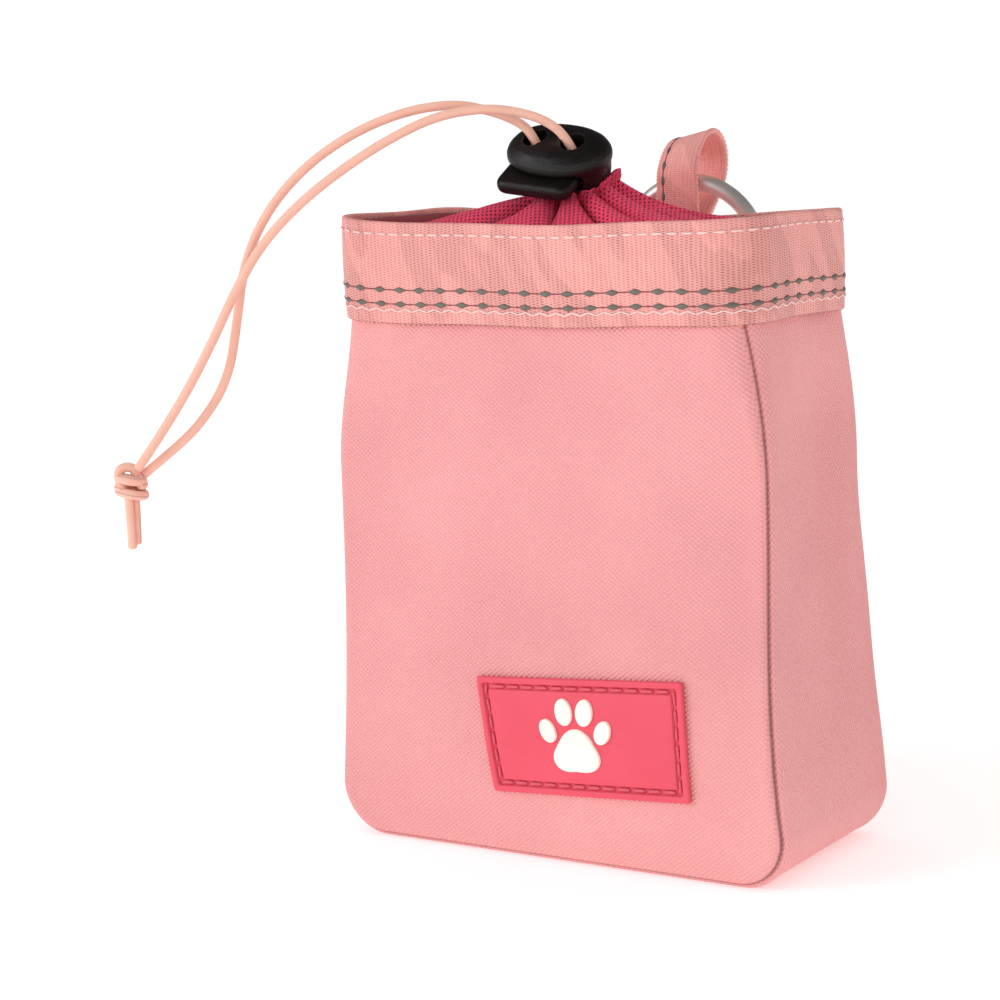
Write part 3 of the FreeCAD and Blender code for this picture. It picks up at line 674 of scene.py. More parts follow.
def seam_dip(distance):
    """Depth of the crease at a seam, with a slight swelling beside it."""
    return 1.0 * np.exp(-((distance / 0.9) ** 2)) - 0.3 * hump(distance, 3.0, 1.8)


def seam_shadow(distance):
    """How deep in the seam a place lies, from 0 on the open cloth to 1 at the stitches. It sets the painted
    shade along the seams.
    """
    return np.exp(-((distance / 0.55) ** 2))


def rolled_in(z, distance):
    """How far the cloth has rolled away at a distance from the square corner."""
    radius = edge_round(z)
    return radius - np.sqrt(np.maximum(radius**2 - np.maximum(0, radius - distance) ** 2, 0))


def crowded(columns):
    """Places from -1 to 1 that lie closer together near the seams."""
    spread = np.linspace(-1, 1, columns)
    return np.sin(spread * math.pi / 2 * 0.94) / math.sin(math.pi / 2 * 0.94)


def panel_depth(x, z, back=False):
    """How far a panel stands out from the bag's middle plane."""
    distance = outline_distance(x, z)
    rolled = rolled_in(z, distance)
    inner = smooth(distance / 30) * smooth((BODY_TOP - 2 - z) / 34)
    swell = (1.0 if back else 1.5) * inner
    sway = 0.35 * np.sin(x / 17 + z / 31 + (1.3 if back else 0)) * np.sin(z / 23 + x / 55) * inner
    under_band = np.exp(-np.maximum(0, 133 - z) / 6.5)
    puckers = 0
    for place, width, depth in (
        (-50, 3.4, 0.55), (-42, 2.6, -0.35), (-34, 4.5, 0.5), (-21, 4.0, 0.3), (-6, 6.0, 0.35),
        (12, 4.0, -0.25), (24, 5.0, 0.4), (39, 3.5, 0.35), (48, 3.0, -0.3)
    ):
        lean = 0.12 * (133 - z)
        puckers = puckers + depth * hump(x, (-place if back else place) + lean, width)
    pulled = 0.6 * hump(x, -56, 9) * hump(z, 118, 14)
    depth = half_depth(z) - (back_pull(z) if back else 0.0)
    return depth + swell + sway - rolled - puckers * under_band - pulled


def bag_panel(name, replaced, back):
    rows, columns = 250, 281
    low = edge_inset(0.0)
    climb = np.linspace(0, 1, rows) ** 1.6
    z = low + (BODY_TOP - low) * climb
    inset = edge_inset(z)
    wide = half_width(z)
    corner = CORNER - inset
    gap = np.maximum(0, corner - (z - low))
    wide = wide - inset - corner + np.sqrt(np.maximum(corner**2 - gap**2, 0))
    x = wide[:, None] * crowded(columns)[None, :]
    z_grid = np.repeat(z[:, None], columns, 1)
    y = panel_depth(x, z_grid, back)
    from_seam = outline_distance(x, z_grid) - edge_inset(z_grid)
    dip = seam_dip(from_seam * 1.2)
    y = y - dip * 0.7
    x = x * (1 - 0.7 * dip / 64 * np.exp(-((from_seam / 1.2) ** 2)))
    side = 1 if back else -1
    points = np.stack((x, side * y, z_grid), -1)
    cloth = sheet_grid(points, x, z_grid)
    # The third number sets the painted shade along the seams.
    cloth[..., 2] = seam_shadow(from_seam * 1.2)
    faces = grid_faces(rows, columns)
    thing = piece(name, points, faces, COATED, "coated_fabric", "pouch", replaced, cloth, flip=back)
    return thicken(thing, COATED_THICK)


def u_outline():
    """The bag's outline from the top left, down, under the base and up to the top right."""
    wide = float(half_width(CORNER))
    down = np.linspace(BODY_TOP, CORNER, 150)
    left = np.stack((-half_width(down), down), 1)
    angle = np.linspace(math.pi, 1.5 * math.pi, 40)[1:-1]
    bend = np.stack((-(wide - CORNER) + CORNER * np.cos(angle), CORNER + CORNER * np.sin(angle)), 1)
    base = np.stack((np.linspace(-(wide - CORNER), wide - CORNER, 90), np.zeros(90)), 1)
    half = np.concatenate((left, bend, base))
    mirror = np.concatenate((left, bend))[::-1] * (-1, 1)
    return np.concatenate((half, mirror))


def bag_gusset():
    outline = u_outline()
    tangent = unit(np.gradient(outline, axis=0))
    outward = np.stack((tangent[:, 1], -tangent[:, 0]), 1)
    travelled = lengths_along(outline)
    columns = 121
    z = outline[:, 1][:, None]
    x = outline[:, 0][:, None]
    deep = half_depth(z)
    inner_depth = deep - edge_inset(z)
    y = inner_depth * crowded(columns)[None, :]
    distance = deep - np.abs(y)
    rolled = rolled_in(z, distance)
    from_seam = (distance - edge_inset(z)) * 1.2
    upper = smooth((z - CORNER) / 30)
    hollow = (1 - (y / deep) ** 2) * upper * (0.7 + 1.5 * hump(z, 104, 34))
    right = np.where(x > 0, 1.0, 0.6)
    fold = hump(y, 3.0 + 0.1 * (z - 90), 6.0) * hump(z, 104, 34) * 0.9 * right
    ridge = -hump(y, 14.0 + 0.03 * z, 6.0) * hump(z, 90, 45) * 0.9 * right
    crease = hump(y, -10.0 + 0.08 * (133 - z), 2.2) * hump(z, 128, 10) * 0.45
    dip = seam_dip(from_seam)
    inset = rolled + hollow + (fold + ridge + crease) * smooth(distance / 9) + dip * 0.7
    points = np.zeros((len(outline), columns, 3))
    points[..., 0] = x - outward[:, :1] * inset
    points[..., 2] = np.maximum(z - outward[:, 1:] * inset, 0.0)
    points[..., 1] = y * (1 - 0.7 * dip / 28 * np.exp(-((from_seam / 1.2) ** 2)))
    points[..., 1] -= back_pull(z) * smooth(y / inner_depth)
    cloth = sheet_grid(points, travelled[:, None], y)
    # The third number sets the painted shade along the seams.
    cloth[..., 2] = seam_shadow(from_seam)
    faces = grid_faces(len(outline), columns)
    thing = piece("bag_gusset", points, faces, COATED, "coated_fabric", "pouch", ["gusset"], cloth)
    return thicken(thing, COATED_THICK)


bag_panel("bag_front", ["front_panel"], back=False)
bag_panel("bag_back", ["back_panel"], back=True)
bag_gusset()

# ---------------------------------------------------------------- rim band


def round_rect(fraction, half_x, half_y, corner):
    """Points and outward directions round a rounded rectangle, from the middle of the back, by the left."""
    fraction, half_x, half_y, corner = np.broadcast_arrays(fraction, half_x, half_y, corner)
    flat_x, flat_y, arc = half_x - corner, half_y - corner, corner * math.pi / 2
    around = 4 * flat_x + 4 * flat_y + 4 * arc
    run = fraction % 1.0 * around
    x, y = np.zeros(run.shape), np.zeros(run.shape)
    out_x, out_y = np.zeros(run.shape), np.zeros(run.shape)
    start = np.zeros(run.shape)
    sides = (
        ("run", flat_x, (0, 1), (-1, 0), (0, 1)), ("bend", arc, (-1, 1), 90, None),
        ("run", 2 * flat_y, (-1, 1), (0, -1), (-1, 0)), ("bend", arc, (-1, -1), 180, None),
        ("run", 2 * flat_x, (-1, -1), (1, 0), (0, -1)), ("bend", arc, (1, -1), 270, None),
        ("run", 2 * flat_y, (1, -1), (0, 1), (1, 0)), ("bend", arc, (1, 1), 0, None),
        ("run", flat_x, (1, 1), (-1, 0), (0, 1))
    )
    for kind, long, corner_sign, way, out in sides:
        here = (run >= start - 1e-9) & (run <= start + long + 1e-9)
        done = run - start
        if kind == "run":
            side_x = corner_sign[0] * flat_x + way[0] * done + out[0] * corner
            side_y = corner_sign[1] * flat_y + way[1] * done + out[1] * corner
            normal_x, normal_y = out[0] + 0 * run, out[1] + 0 * run
        else:
            angle = math.radians(way) + done / corner
            normal_x, normal_y = np.cos(angle), np.sin(angle)
            side_x = corner_sign[0] * flat_x + corner * normal_x
            side_y = corner_sign[1] * flat_y + corner * normal_y
        x, y = np.where(here, side_x, x), np.where(here, side_y, y)
        out_x, out_y = np.where(here, normal_x, out_x), np.where(here, normal_y, out_y)
        start = start + long
    return x, y, out_x, out_y, around


BAND_FOOT = 133.0
BAND_TILT = 0.023
BAND_WIDE = 25.0


def band_point(fraction, height, out=0.0):
    """A point of the band's face: a fraction of the way round, a height above its foot, a distance out."""
    share = np.clip(height / BAND_WIDE, 0, 1)
    half_x = 59.8 + 0.1 * share
    half_y = 29.0 + 0.9 * share
    corner = 12.5 + 1.5 * share
    x, y, out_x, out_y, _ = round_rect(fraction, half_x, half_y, corner)
    sway = 0.32 * np.sin(TAU * 5 * fraction + 1.0) * np.sin(TAU * 3 * fraction) + 0.35 * np.sin(
        math.pi * share
    )
    stand = out + sway
    dip = (1.2 + 0.6 * share) * (1 + 0.45 * (out_y > 0))
    dip = dip * np.abs(out_y) * np.clip(1 - (x / half_x) ** 2, 0, 1)
    lift = 0.18 * np.sin(TAU * 7 * fraction + 0.5)
    tilt = -BAND_TILT * x * (0.5 + 0.5 * share)
    z = BAND_FOOT + height - dip + lift + tilt
    return np.stack(np.broadcast_arrays(x + out_x * stand, y + out_y * stand, z), -1)


BAND_AROUND = float(round_rect(0.0, 59.9, 29.5, 13.25)[4])


def band_frames(fractions, height, out):
    """Centres, tangents and normals for stitches on the band."""
    step = 0.0006
    here = band_point(fractions, height, out)
    tangents = unit(band_point(fractions + step, height, out) - band_point(fractions - step, height, out))
    normals = unit(band_point(fractions, height, out + 1.0) - here)
    return here, tangents, normals


def rim_webbing():
    columns = 720
    outer = [(0.0, height) for height in np.linspace(0.25, BAND_WIDE - 0.7, 44)]
    over = [
        (-0.7 + 0.7 * math.cos(angle), BAND_WIDE - 0.7 + 0.7 * math.sin(angle))
        for angle in np.linspace(0.15, math.pi - 0.15, 9)
    ]
    inner = [(-1.4, height) for height in np.linspace(BAND_WIDE - 0.7, 0.25, 16)]
    under = [(-1.15, 0.0), (-0.25, 0.0)]
    profile = np.array(outer + over + inner + under)
    fractions = ring_shares(columns)
    points = band_point(fractions[None, :], profile[:, 1:], profile[:, :1])
    run = lengths_along(profile)
    cloth = sheet_grid(points, fractions[None, :] * BAND_AROUND, run[:, None])
    faces = grid_faces(len(profile), columns, wrap_rows=True, wrap_columns=True)
    return piece("rim_webbing", points, faces, WEBBING, "webbing", "pouch", ["rim_band"], cloth)


def rim_inside():
    """The facing inside the rim: its top edge is turned under, and it is slightly wavy."""
    columns = 480
    fractions = ring_shares(columns)
    profile = np.array(
        [(0.0, 0.0), (0.0, 2.0), (0.0, 4.0), (0.0, 6.0), (-0.1, 7.2), (-0.4, 7.6), (-0.75, 7.2)]
        + [(-0.8, height) for height in (6.0, 4.0, 2.0, 0.0)]
    )
    rise = profile[:, 1:] + 149.2
    x, y, out_x, out_y, _ = round_rect(fractions[None, :], 58.0, 27.4, 11.5)
    wave = 0.12 * np.sin(TAU * 23 * fractions)[None, :] * (profile[:, 1:] / 8)
    stand = profile[:, :1] + wave
    dip = 1.9 * np.abs(out_y) * np.clip(1 - (x / 58) ** 2, 0, 1) + BAND_TILT * x
    points = np.stack(np.broadcast_arrays(x + out_x * stand, y + out_y * stand, rise - dip), -1)
    cloth = sheet_grid(points, fractions[None, :] * BAND_AROUND, profile[:, 1:])
    faces = grid_faces(len(profile), columns, wrap_rows=True, wrap_columns=True)
    return piece("rim_inside", points, faces, LINING, "lining_fabric", "pouch", ["rim_facing"], cloth)


def stitch_row(name, drop, pitch, shape, look, slot, replaced, out=0.12):
    """A row of stitches round the band, some way below the rim."""
    long, wide, tall, blunt, point = shape
    count = int(round(BAND_AROUND / pitch))
    fractions = (np.arange(count) + 0.5) / count
    frames = band_frames(fractions, BAND_WIDE - drop, out)
    shape = beads(*frames, long, wide, tall, blunt, point=point)
    return shape_piece(name, shape, look, slot, "pouch", replaced)


def zigzag_row(name, drop, pitch, rise, look, slot, replaced):
    count = int(round(BAND_AROUND / pitch / 2)) * 2
    fractions = (np.arange(count) + 0.5) / count
    here, tangents, normals = band_frames(fractions, BAND_WIDE - drop, 0.1)
    slope = np.where(np.arange(count) % 2, 1.0, -1.0)[:, None] * rise / pitch
    tangents = unit(tangents + np.array((0, 0, 1.0)) * slope)
    shape = beads(here, tangents, normals, pitch * 1.25, 0.42, 0.42, 6.0)
    return shape_piece(name, shape, look, slot, "pouch", replaced)


def red_line(name, drop):
    """The thin dark thread that shows between the reflective yarn's floats."""
    fractions = ring_shares(700)
    line, _, _ = band_frames(fractions, BAND_WIDE - drop, -0.02)
    closed = np.concatenate((line, line[:1]))
    shape = tube(closed, 0.16, around=6, round_ends=False)
    return shape_piece(name, shape, DARK_RED_THREAD, "red_thread")


rim_webbing()
rim_inside()
stitch_row(
    "top_thread", 3.0, 3.9, (3.0, 0.52, 0.6, 4.0, 0.5), PALE_THREAD, "pale_thread", ["band_top_stitching"]
)
for name, drop, node in (
    ("yarn_upper", 16.6, "reflective_yarn_upper"), ("yarn_lower", 20.1, "reflective_yarn_lower")
):
    lens = (3.7, 1.55, 0.55, 1.1, 0.85)
    stitch_row(name, drop, 6.1, lens, REFLECTIVE, "reflective_yarn", [node], 0.05)
    red_line(name + "_line", drop)
zigzag_row("hem_thread", 21.6, 2.2, 0.7, PALE_THREAD, "pale_thread", ["band_hem_stitching"])

# ---------------------------------------------------------------- label

LABEL_X, LABEL_Z = 11.6, 33.0
LABEL_TURN = math.radians(3.3)


def label_ring(inset, rounding, per_side=40, per_corner=6):
    """The label's outline drawn in by an inset, with round corners: places across and up."""
    wide, tall = 29.0 - inset, 14.5 - inset
    corners = np.array(((-wide + 2.2, -tall), (wide, -tall), (wide, tall), (-wide, tall)))
    line = []
    for index in range(4):
        here = corners[index]
        back = unit(corners[index - 1] - here)
        ahead = unit(corners[(index + 1) % 4] - here)
        half_turn = math.acos(float(np.clip(np.dot(back, ahead), -1, 1))) / 2
        reach = rounding / math.tan(half_turn)
        centre = here + unit(back + ahead) * rounding / math.sin(half_turn)
        start, end = here + back * reach, here + ahead * reach
        first = math.atan2(*(start - centre)[::-1])
        last = math.atan2(*(end - centre)[::-1])
        sweep = (last - first + math.pi) % TAU - math.pi
        for angle in first + sweep * np.linspace(0, 1, per_corner):
            line.append(centre + rounding * np.array((math.cos(angle), math.sin(angle))))
        following = corners[(index + 1) % 4]
        ahead_half = math.acos(
            float(np.clip(np.dot(-ahead, unit(corners[(index + 2) % 4] - following)), -1, 1))
        ) / 2
        stop = following - ahead * rounding / math.tan(ahead_half)
        for share in np.linspace(0, 1, per_side)[1:-1]:
            line.append(end + (stop - end) * share)
    return np.array(line)


def on_front(across, up, height):
    """A place on the front panel in the label's own directions, a height off the cloth."""
    across, up, height = np.broadcast_arrays(across, up, height)
    x = LABEL_X + across * math.cos(LABEL_TURN) - up * math.sin(LABEL_TURN)
    z = LABEL_Z + across * math.sin(LABEL_TURN) + up * math.cos(LABEL_TURN)
    return np.stack((x, -(panel_depth(x, z) + height), z), -1)


def ring_stack(rings, both=False):
    """Joins outlines that each hold the same number of points, and fills the last one, or both ends."""
    count = len(rings[0])
    points = np.concatenate(rings)
    faces = grid_faces(len(rings), count, wrap_columns=True)
    faces.append([(len(rings) - 1) * count + k for k in range(count)])
    if both:
        faces.append(list(range(count))[::-1])
    return points, faces


def label_patch():
    levels = (
        (0.5, 0.3, 0.5), (0.1, 0.35, 0.65), (0.0, 0.8, 0.7), (0.06, 1.2, 0.7), (0.25, 1.42, 0.65),
        (0.55, 1.48, 0.6), (1.4, 1.48, 0.5), (1.6, 1.36, 0.5), (1.72, 0.95, 0.5), (1.85, 0.55, 0.5),
        (3.05, 0.55, 0.4), (3.15, 0.85, 0.4), (3.3, 1.06, 0.4), (3.65, 1.12, 0.4), (7.0, 1.1, 0.4),
        (10.0, 1.1, 0.35), (13.5, 1.1, 0.3)
    )
    rings = []
    cloths = []
    for inset, height, rounding in levels:
        ring = label_ring(inset, rounding)
        rings.append(on_front(ring[:, 0], ring[:, 1], height))
        cloths.append(np.column_stack((ring, np.full(len(ring), height))))
    points, faces = ring_stack(rings)
    piece("label", points, faces, RUBBER, "label_rubber", "pouch", ["label_patch"], np.concatenate(cloths))


def label_stitches():
    """Slack stitches pressed into the groove, each a little out of line."""
    spacing, pitch = 0.1, 4.15
    ring = even(label_ring(2.45, 0.5), spacing, closed=True)
    count = int(len(ring) * spacing / pitch)
    places = ((np.arange(count) + 0.5) * len(ring) / count).astype(int)
    ahead = ring[(places + 4) % len(ring)] - ring[places - 4]
    tangent = np.column_stack((ahead[:, 0], 0 * ahead[:, 0], ahead[:, 1]))
    skew = 0.05 * np.sin(places * 1.7)
    centres = on_front(ring[places, 0], ring[places, 1], 0.86)
    turned = np.column_stack(
        (
            tangent[:, 0] * math.cos(LABEL_TURN) - tangent[:, 2] * math.sin(LABEL_TURN),
            skew,
            tangent[:, 0] * math.sin(LABEL_TURN) + tangent[:, 2] * math.cos(LABEL_TURN),
        )
    )
    normals = np.tile((0.0, -1.0, 0.0), (count, 1))
    shape = beads(centres, unit(turned), normals, 3.5, 0.85, 0.6, 3.0)
    shape_piece("label_thread", shape, RED_THREAD, "red_thread", "pouch", ["label_stitching"])


def emblem():
    """A paw print in raised cream rubber: a three-lobed pad and four leaning toes."""
    marks = (
        (-1.0, -3.6, 6.2, 5.3, 0.0, 0.11), (-8.7, 1.7, 2.1, 3.0, 0.42, 0.0),
        (-3.9, 6.4, 2.3, 3.3, 0.14, 0.0), (1.9, 6.4, 2.3, 3.3, -0.14, 0.0), (6.7, 1.7, 2.1, 3.0, -0.42, 0.0)
    )
    shapes = []
    turn = ring_shares(64, TAU)
    for across, up, half_wide, half_tall, lean, lobes in marks:
        radius = 1 + lobes * np.cos(3 * (turn - math.pi / 2))
        radius = radius - lobes * 0.35 * hump(turn, 1.5 * math.pi, 0.4)
        side = half_wide * radius * np.cos(turn)
        rise = half_tall * radius * np.sin(turn)
        rings = []
        for share, height in (
            (1.03, 0.9), (1.0, 1.2), (1.0, 1.6), (0.975, 1.76), (0.93, 1.85), (0.8, 1.9), (0.45, 1.93),
            (0.1, 1.94)
        ):
            place_x = across + (side * math.cos(lean) - rise * math.sin(lean)) * share
            place_z = up + (side * math.sin(lean) + rise * math.cos(lean)) * share
            rings.append(on_front(place_x, place_z, height))
        points, faces = ring_stack(rings)
        shapes.append((points, faces, np.zeros((len(points), 3))))
    shape_piece("paw", merged(shapes), CREAM, "label_cream", "pouch", ["label_emblem"])


label_patch()
label_stitches()
emblem()

# ---------------------------------------------------------------- lining and collar


def lining_bag():
    """The thin inner bag: an open shell that wrinkles a little down its walls."""
    columns, levels = 240, 60
    fractions = ring_shares(columns)
    height = np.concatenate((np.full(8, 3.2), np.linspace(3.4, 149.4, levels)))
    share = np.concatenate((np.linspace(0.05, 0.97, 8), np.ones(levels)))
    x, y, out_x, out_y, around = round_rect(fractions[None, :], 55.6, 25.6, 9.0)
    wrinkle = 0.35 * np.sin(TAU * 17 * fractions)[None, :] * np.sin(height[:, None] / 19 + 4 * fractions)
    wrinkle = wrinkle - 1.6 * hump(height[:, None], 90, 40) * np.abs(out_y)
    wrinkle = wrinkle - back_pull(height[:, None]) * np.maximum(out_y, 0)
    wrinkle = wrinkle - 2.4 * hump(height[:, None], 50, 34) * np.abs(out_x)
    points = np.stack(
        (
            (x + out_x * wrinkle) * share[:, None], (y + out_y * wrinkle) * share[:, None],
            height[:, None] + 0 * x
        ),
        -1
    )
    cloth = sheet_grid(points, fractions[None, :] * around, height[:, None])
    faces = grid_faces(len(height), columns, wrap_columns=True)
    faces.append(list(range(columns))[::-1])
    thing = piece("lining_bag", points, faces, LINING, "lining_fabric", "pouch", ["lining"], cloth)
    return thicken(thing, LINING_THICK)


NECK = np.array((-3.0, -0.8))
NECK_X, NECK_Y = 11.2, 7.8
NECK_TURN = 0.35
NECK_RISE = 162.4
COLLAR_FOOT = 152.6
HEM_AROUND = 78.0
HEM_CLOTH = 16.0


def pleats(turn):
    """Height of the folds round the collar, from 0 in a crease to 1 on a ridge. They differ in width."""
    phase = 5.5 * turn + 0.9 * np.sin(turn + 0.6) + 0.6 * np.sin(2 * turn + 2.0)
    return np.abs(np.sin(phase)) ** 0.6


def neck_height(turn):
    """Height of the gathered neck. It is drawn up at the lock's right end and dips where the tab sweeps."""
    dip = 1.1 * turn_hump(turn, -0.85, 0.45)
    return NECK_RISE + 1.9 * np.cos(turn - NECK_TURN) - dip


def collar():
    """The gathered collar: from inside the rim up over loose folds to the drawn-in hem."""
    columns, rows = 760, 110
    fractions = ring_shares(columns)
    turn = math.pi / 2 + TAU * fractions
    foot_x, foot_y, _, _, _ = round_rect(fractions, 56.4, 25.6, 10.5)
    ridge = pleats(turn)
    fine = 0.5 + 0.5 * np.sin(31 * turn + 2 * np.sin(3 * turn))
    share = np.linspace(0, 1, rows)[:, None]
    swell = np.sin(math.pi * share) ** 0.9
    steep = 2.15 + 1.1 * np.cos(turn - NECK_TURN) - 0.65 * hump(turn % TAU, 1.5 * math.pi, 0.8)
    climb = share**steep
    gathered = share**1.2
    x = foot_x + (NECK[0] + NECK_X * np.cos(turn) - foot_x) * share
    y = foot_y + (NECK[1] + NECK_Y * np.sin(turn) - foot_y) * share
    z = COLLAR_FOOT + (neck_height(turn) - COLLAR_FOOT) * climb + 0.7 * swell
    fold = (ridge - 0.7) * (0.5 + 5.6 * gathered) + (fine - 0.5) * 0.6 * gathered
    fold = fold * smooth(share / 0.12)
    slack = 0.6 * np.sin(9 * turn + 3.0) * swell
    x = x + np.cos(turn) * 0.4 * fold
    y = y + np.sin(turn) * 0.4 * fold
    z = z + fold * 0.8 + slack
    points = np.stack((x, y, z), -1)
    # Painted shade in the creases: none at the foot, and full from halfway up to the neck.
    crease_shade = 1 - (1 - ridge) * smooth(share / 0.5)
    cloth = np.stack((0.88 * x + 0.48 * y, 0.5 * y - 0.3 * x + 0.75 * z, crease_shade), -1)
    faces = grid_faces(rows, columns, wrap_columns=True)
    thing = piece("collar", points, faces, KNIT, "knit_mesh", None, ["mesh_collar"], cloth)
    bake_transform(thing)
    return thicken(thing, KNIT_THICK, 0.0)


def ruffle():
    """The hem above the gathers: a doubled channel that stands up beside the lock's right end."""
    columns, rows = 760, 46
    fractions = ring_shares(columns)
    turn = math.pi / 2 + TAU * fractions
    smooth_side = 0.75 * turn_hump(turn, 0.1, 0.8)
    ridge = pleats(turn) * (1 - smooth_side) + 0.75 * smooth_side
    fine = 0.5 + 0.5 * np.sin(31 * turn + 2 * np.sin(3 * turn))
    crest = 1.4 + 2.7 * turn_hump(turn, 0.15, 0.6)
    share = np.linspace(0, 1, rows)[:, None]
    up = np.where(share < 0.55, share / 0.55, 1.0)
    down = np.clip((share - 0.55) / 0.45, 0, 1)
    lean = 0.3 + 0.8 * np.sin(up * math.pi / 2) - 0.9 * np.sin(down * math.pi) - 2.4 * down
    reach = lean + (ridge - 0.6) * (1.6 + 0.6 * up * (1 - down))
    x = NECK[0] + (NECK_X + reach) * np.cos(turn)
    y = NECK[1] + (NECK_Y + reach) * np.sin(turn)
    stand = crest * (np.sin(up * math.pi / 2) - 0.75 * smooth(down))
    z = neck_height(turn) - 0.8 + stand + (ridge - 0.6) * 1.1 * up * (1 - 0.6 * down) + (fine - 0.5) * 0.4
    z = z - 0.5 * hump(share, 0.06, 0.05)
    points = np.stack((x, y, z), -1)
    cloth = sheet_grid(points, fractions[None, :] * HEM_AROUND, share * HEM_CLOTH)
    # The fold heights also set the painted shade in the ruffle's creases.
    cloth[..., 2] = ridge
    faces = grid_faces(rows, columns, wrap_columns=True)
    thing = piece("ruffle", points, faces, KNIT, "knit_mesh", "collar_top", ["collar_hem"], cloth)
    thicken(thing, KNIT_THICK, 0.0)
    seam = points[3]
    tangents, _, _ = frames_along(seam, closed=True)
    picks = np.arange(0, columns, 9)
    outward = unit(seam[picks] - np.array((*NECK, 160.0)))
    stitches = beads(seam[picks] + outward * 0.35, tangents[picks], outward, 1.5, 0.4, 0.35, 4.0)
    shape_piece("channel_stitching", stitches, DARK_RED_THREAD, "red_thread", "collar_top")


def channel_cord():
    """The drawcord where it runs round inside the hem."""
    turn = np.linspace(0, TAU, 90)
    rise = neck_height(turn) - 1.6
    line = np.stack((NECK[0] + 10.0 * np.cos(turn), NECK[1] + 6.6 * np.sin(turn), rise), 1)
    cord_piece("hem_cord", [line], ["channel_cord"], body="collar_top")


lining_bag()
collar()
ruffle()
channel_cord()

# ---------------------------------------------------------------- cord lock

# The lock's right end hangs lower by its roll, and its top leans to the front.
LEAN, ROLL = math.radians(30), math.radians(10)
LOCK_AXES = np.array(
    (
        (math.cos(ROLL), math.sin(ROLL) * math.sin(LEAN), -math.sin(ROLL) * math.cos(LEAN)),
        (0.0, math.cos(LEAN), math.sin(LEAN)),
        (math.sin(ROLL), -math.cos(ROLL) * math.sin(LEAN), math.cos(ROLL) * math.cos(LEAN)),
    )
)


def lock_place(points):
    """From the lock's own directions into the pouch's."""
    return LOCK + np.asarray(points, float) @ LOCK_AXES


def oval_stack(levels, columns=96):
    """Stacked ovals: half length, half depth, middle, height and squareness. Both ends are closed."""
    turn = ring_shares(columns, TAU)
    rings = []
    for half_x, half_y, middle_y, z, square in levels:
        power = 2.0 / square
        x = half_x * np.sign(np.cos(turn)) * np.abs(np.cos(turn)) ** power
        y = middle_y + half_y * np.sign(np.sin(turn)) * np.abs(np.sin(turn)) ** power
        rings.append(np.stack((x, y, np.full(columns, z)), 1))
    return ring_stack(rings, both=True)


def solid(name, points, faces):
    data = bpy.data.meshes.new(name)
    data.from_pydata((np.asarray(points) * MM).tolist(), [], faces)
    shape = bmesh.new()
    shape.from_mesh(data)
    bmesh.ops.recalc_face_normals(shape, faces=shape.faces)
    shape.to_mesh(data)
    shape.free()
    return add_object(name, data)


def apply_modifiers(thing):
    graph = bpy.context.evaluated_depsgraph_get()
    done = bpy.data.meshes.new_from_object(thing.evaluated_get(graph))
    thing.modifiers.clear()
    thing.data = done


def carve(thing, tools, voxel=0.26, passes=5):
    """Cuts tools out of a solid, then softens every edge as moulding does."""
    for tool in tools:
        cut = thing.modifiers.new("cut", "BOOLEAN")
        cut.operation = "DIFFERENCE"
        cut.solver = "EXACT"
        cut.object = tool
    remesh = thing.modifiers.new("remesh", "REMESH")
    remesh.mode = "VOXEL"
    remesh.voxel_size = voxel * MM
    relax = thing.modifiers.new("relax", "SMOOTH")
    relax.factor = 0.5
    relax.iterations = passes
    apply_modifiers(thing)
    for tool in tools:
        bpy.data.objects.remove(tool)
    thing.data.polygons.foreach_set("use_smooth", [True] * len(thing.data.polygons))


def dress(thing, look, body, replaced):
    """Finish a carved solid as a piece in the pouch's frame."""
    count = len(thing.data.vertices)
    local = np.zeros(count * 3)
    thing.data.vertices.foreach_get("co", local)
    placed = lock_place(local.reshape(-1, 3) / MM) * MM
    thing.data.vertices.foreach_set("co", placed.ravel())
    thing.data.materials.clear()
    thing.data.materials.append(look)
    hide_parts(*replaced)
    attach(thing, body)
    return thing


def tilted_hole(x, y, half_x, half_y, lean_x):
    """A tool for an oval hole that leans as it goes down."""
    columns = 40
    turn = ring_shares(columns, TAU)
    rings = []
    for z in (8.0, -9.0):
        middle = x + lean_x * z / 8.0
        oval = (middle + half_x * np.cos(turn), y + half_y * np.sin(turn), np.full(columns, z))
        rings.append(np.stack(oval, 1))
    return solid("hole_tool", *ring_stack(rings, both=True))


def slab(middle_x, half_x, y_front, y_back, z_low, z_high, corner):
    """A flat bar with round corners and softened edges, as stacked outlines."""
    rings = []
    middle = (y_front + y_back) / 2
    half_y = (y_back - y_front) / 2
    shares = (0.0, 0.06, 0.2, 0.42, 0.66, 0.86, 0.96, 1.0)
    insets = (1.2, 0.6, 0.15, 0.0, 0.0, 0.25, 0.7, 1.2)
    columns = 160
    fraction = ring_shares(columns)
    for share, inset in zip(shares, insets):
        z = z_low + (z_high - z_low) * share
        x, y, _, _, _ = round_rect(fraction, half_x - inset, half_y - inset, corner)
        rings.append(np.stack((middle_x + x, middle + y, np.full(columns, z)), 1))
    return ring_stack(rings, both=True)


HOLE_APART = 4.9


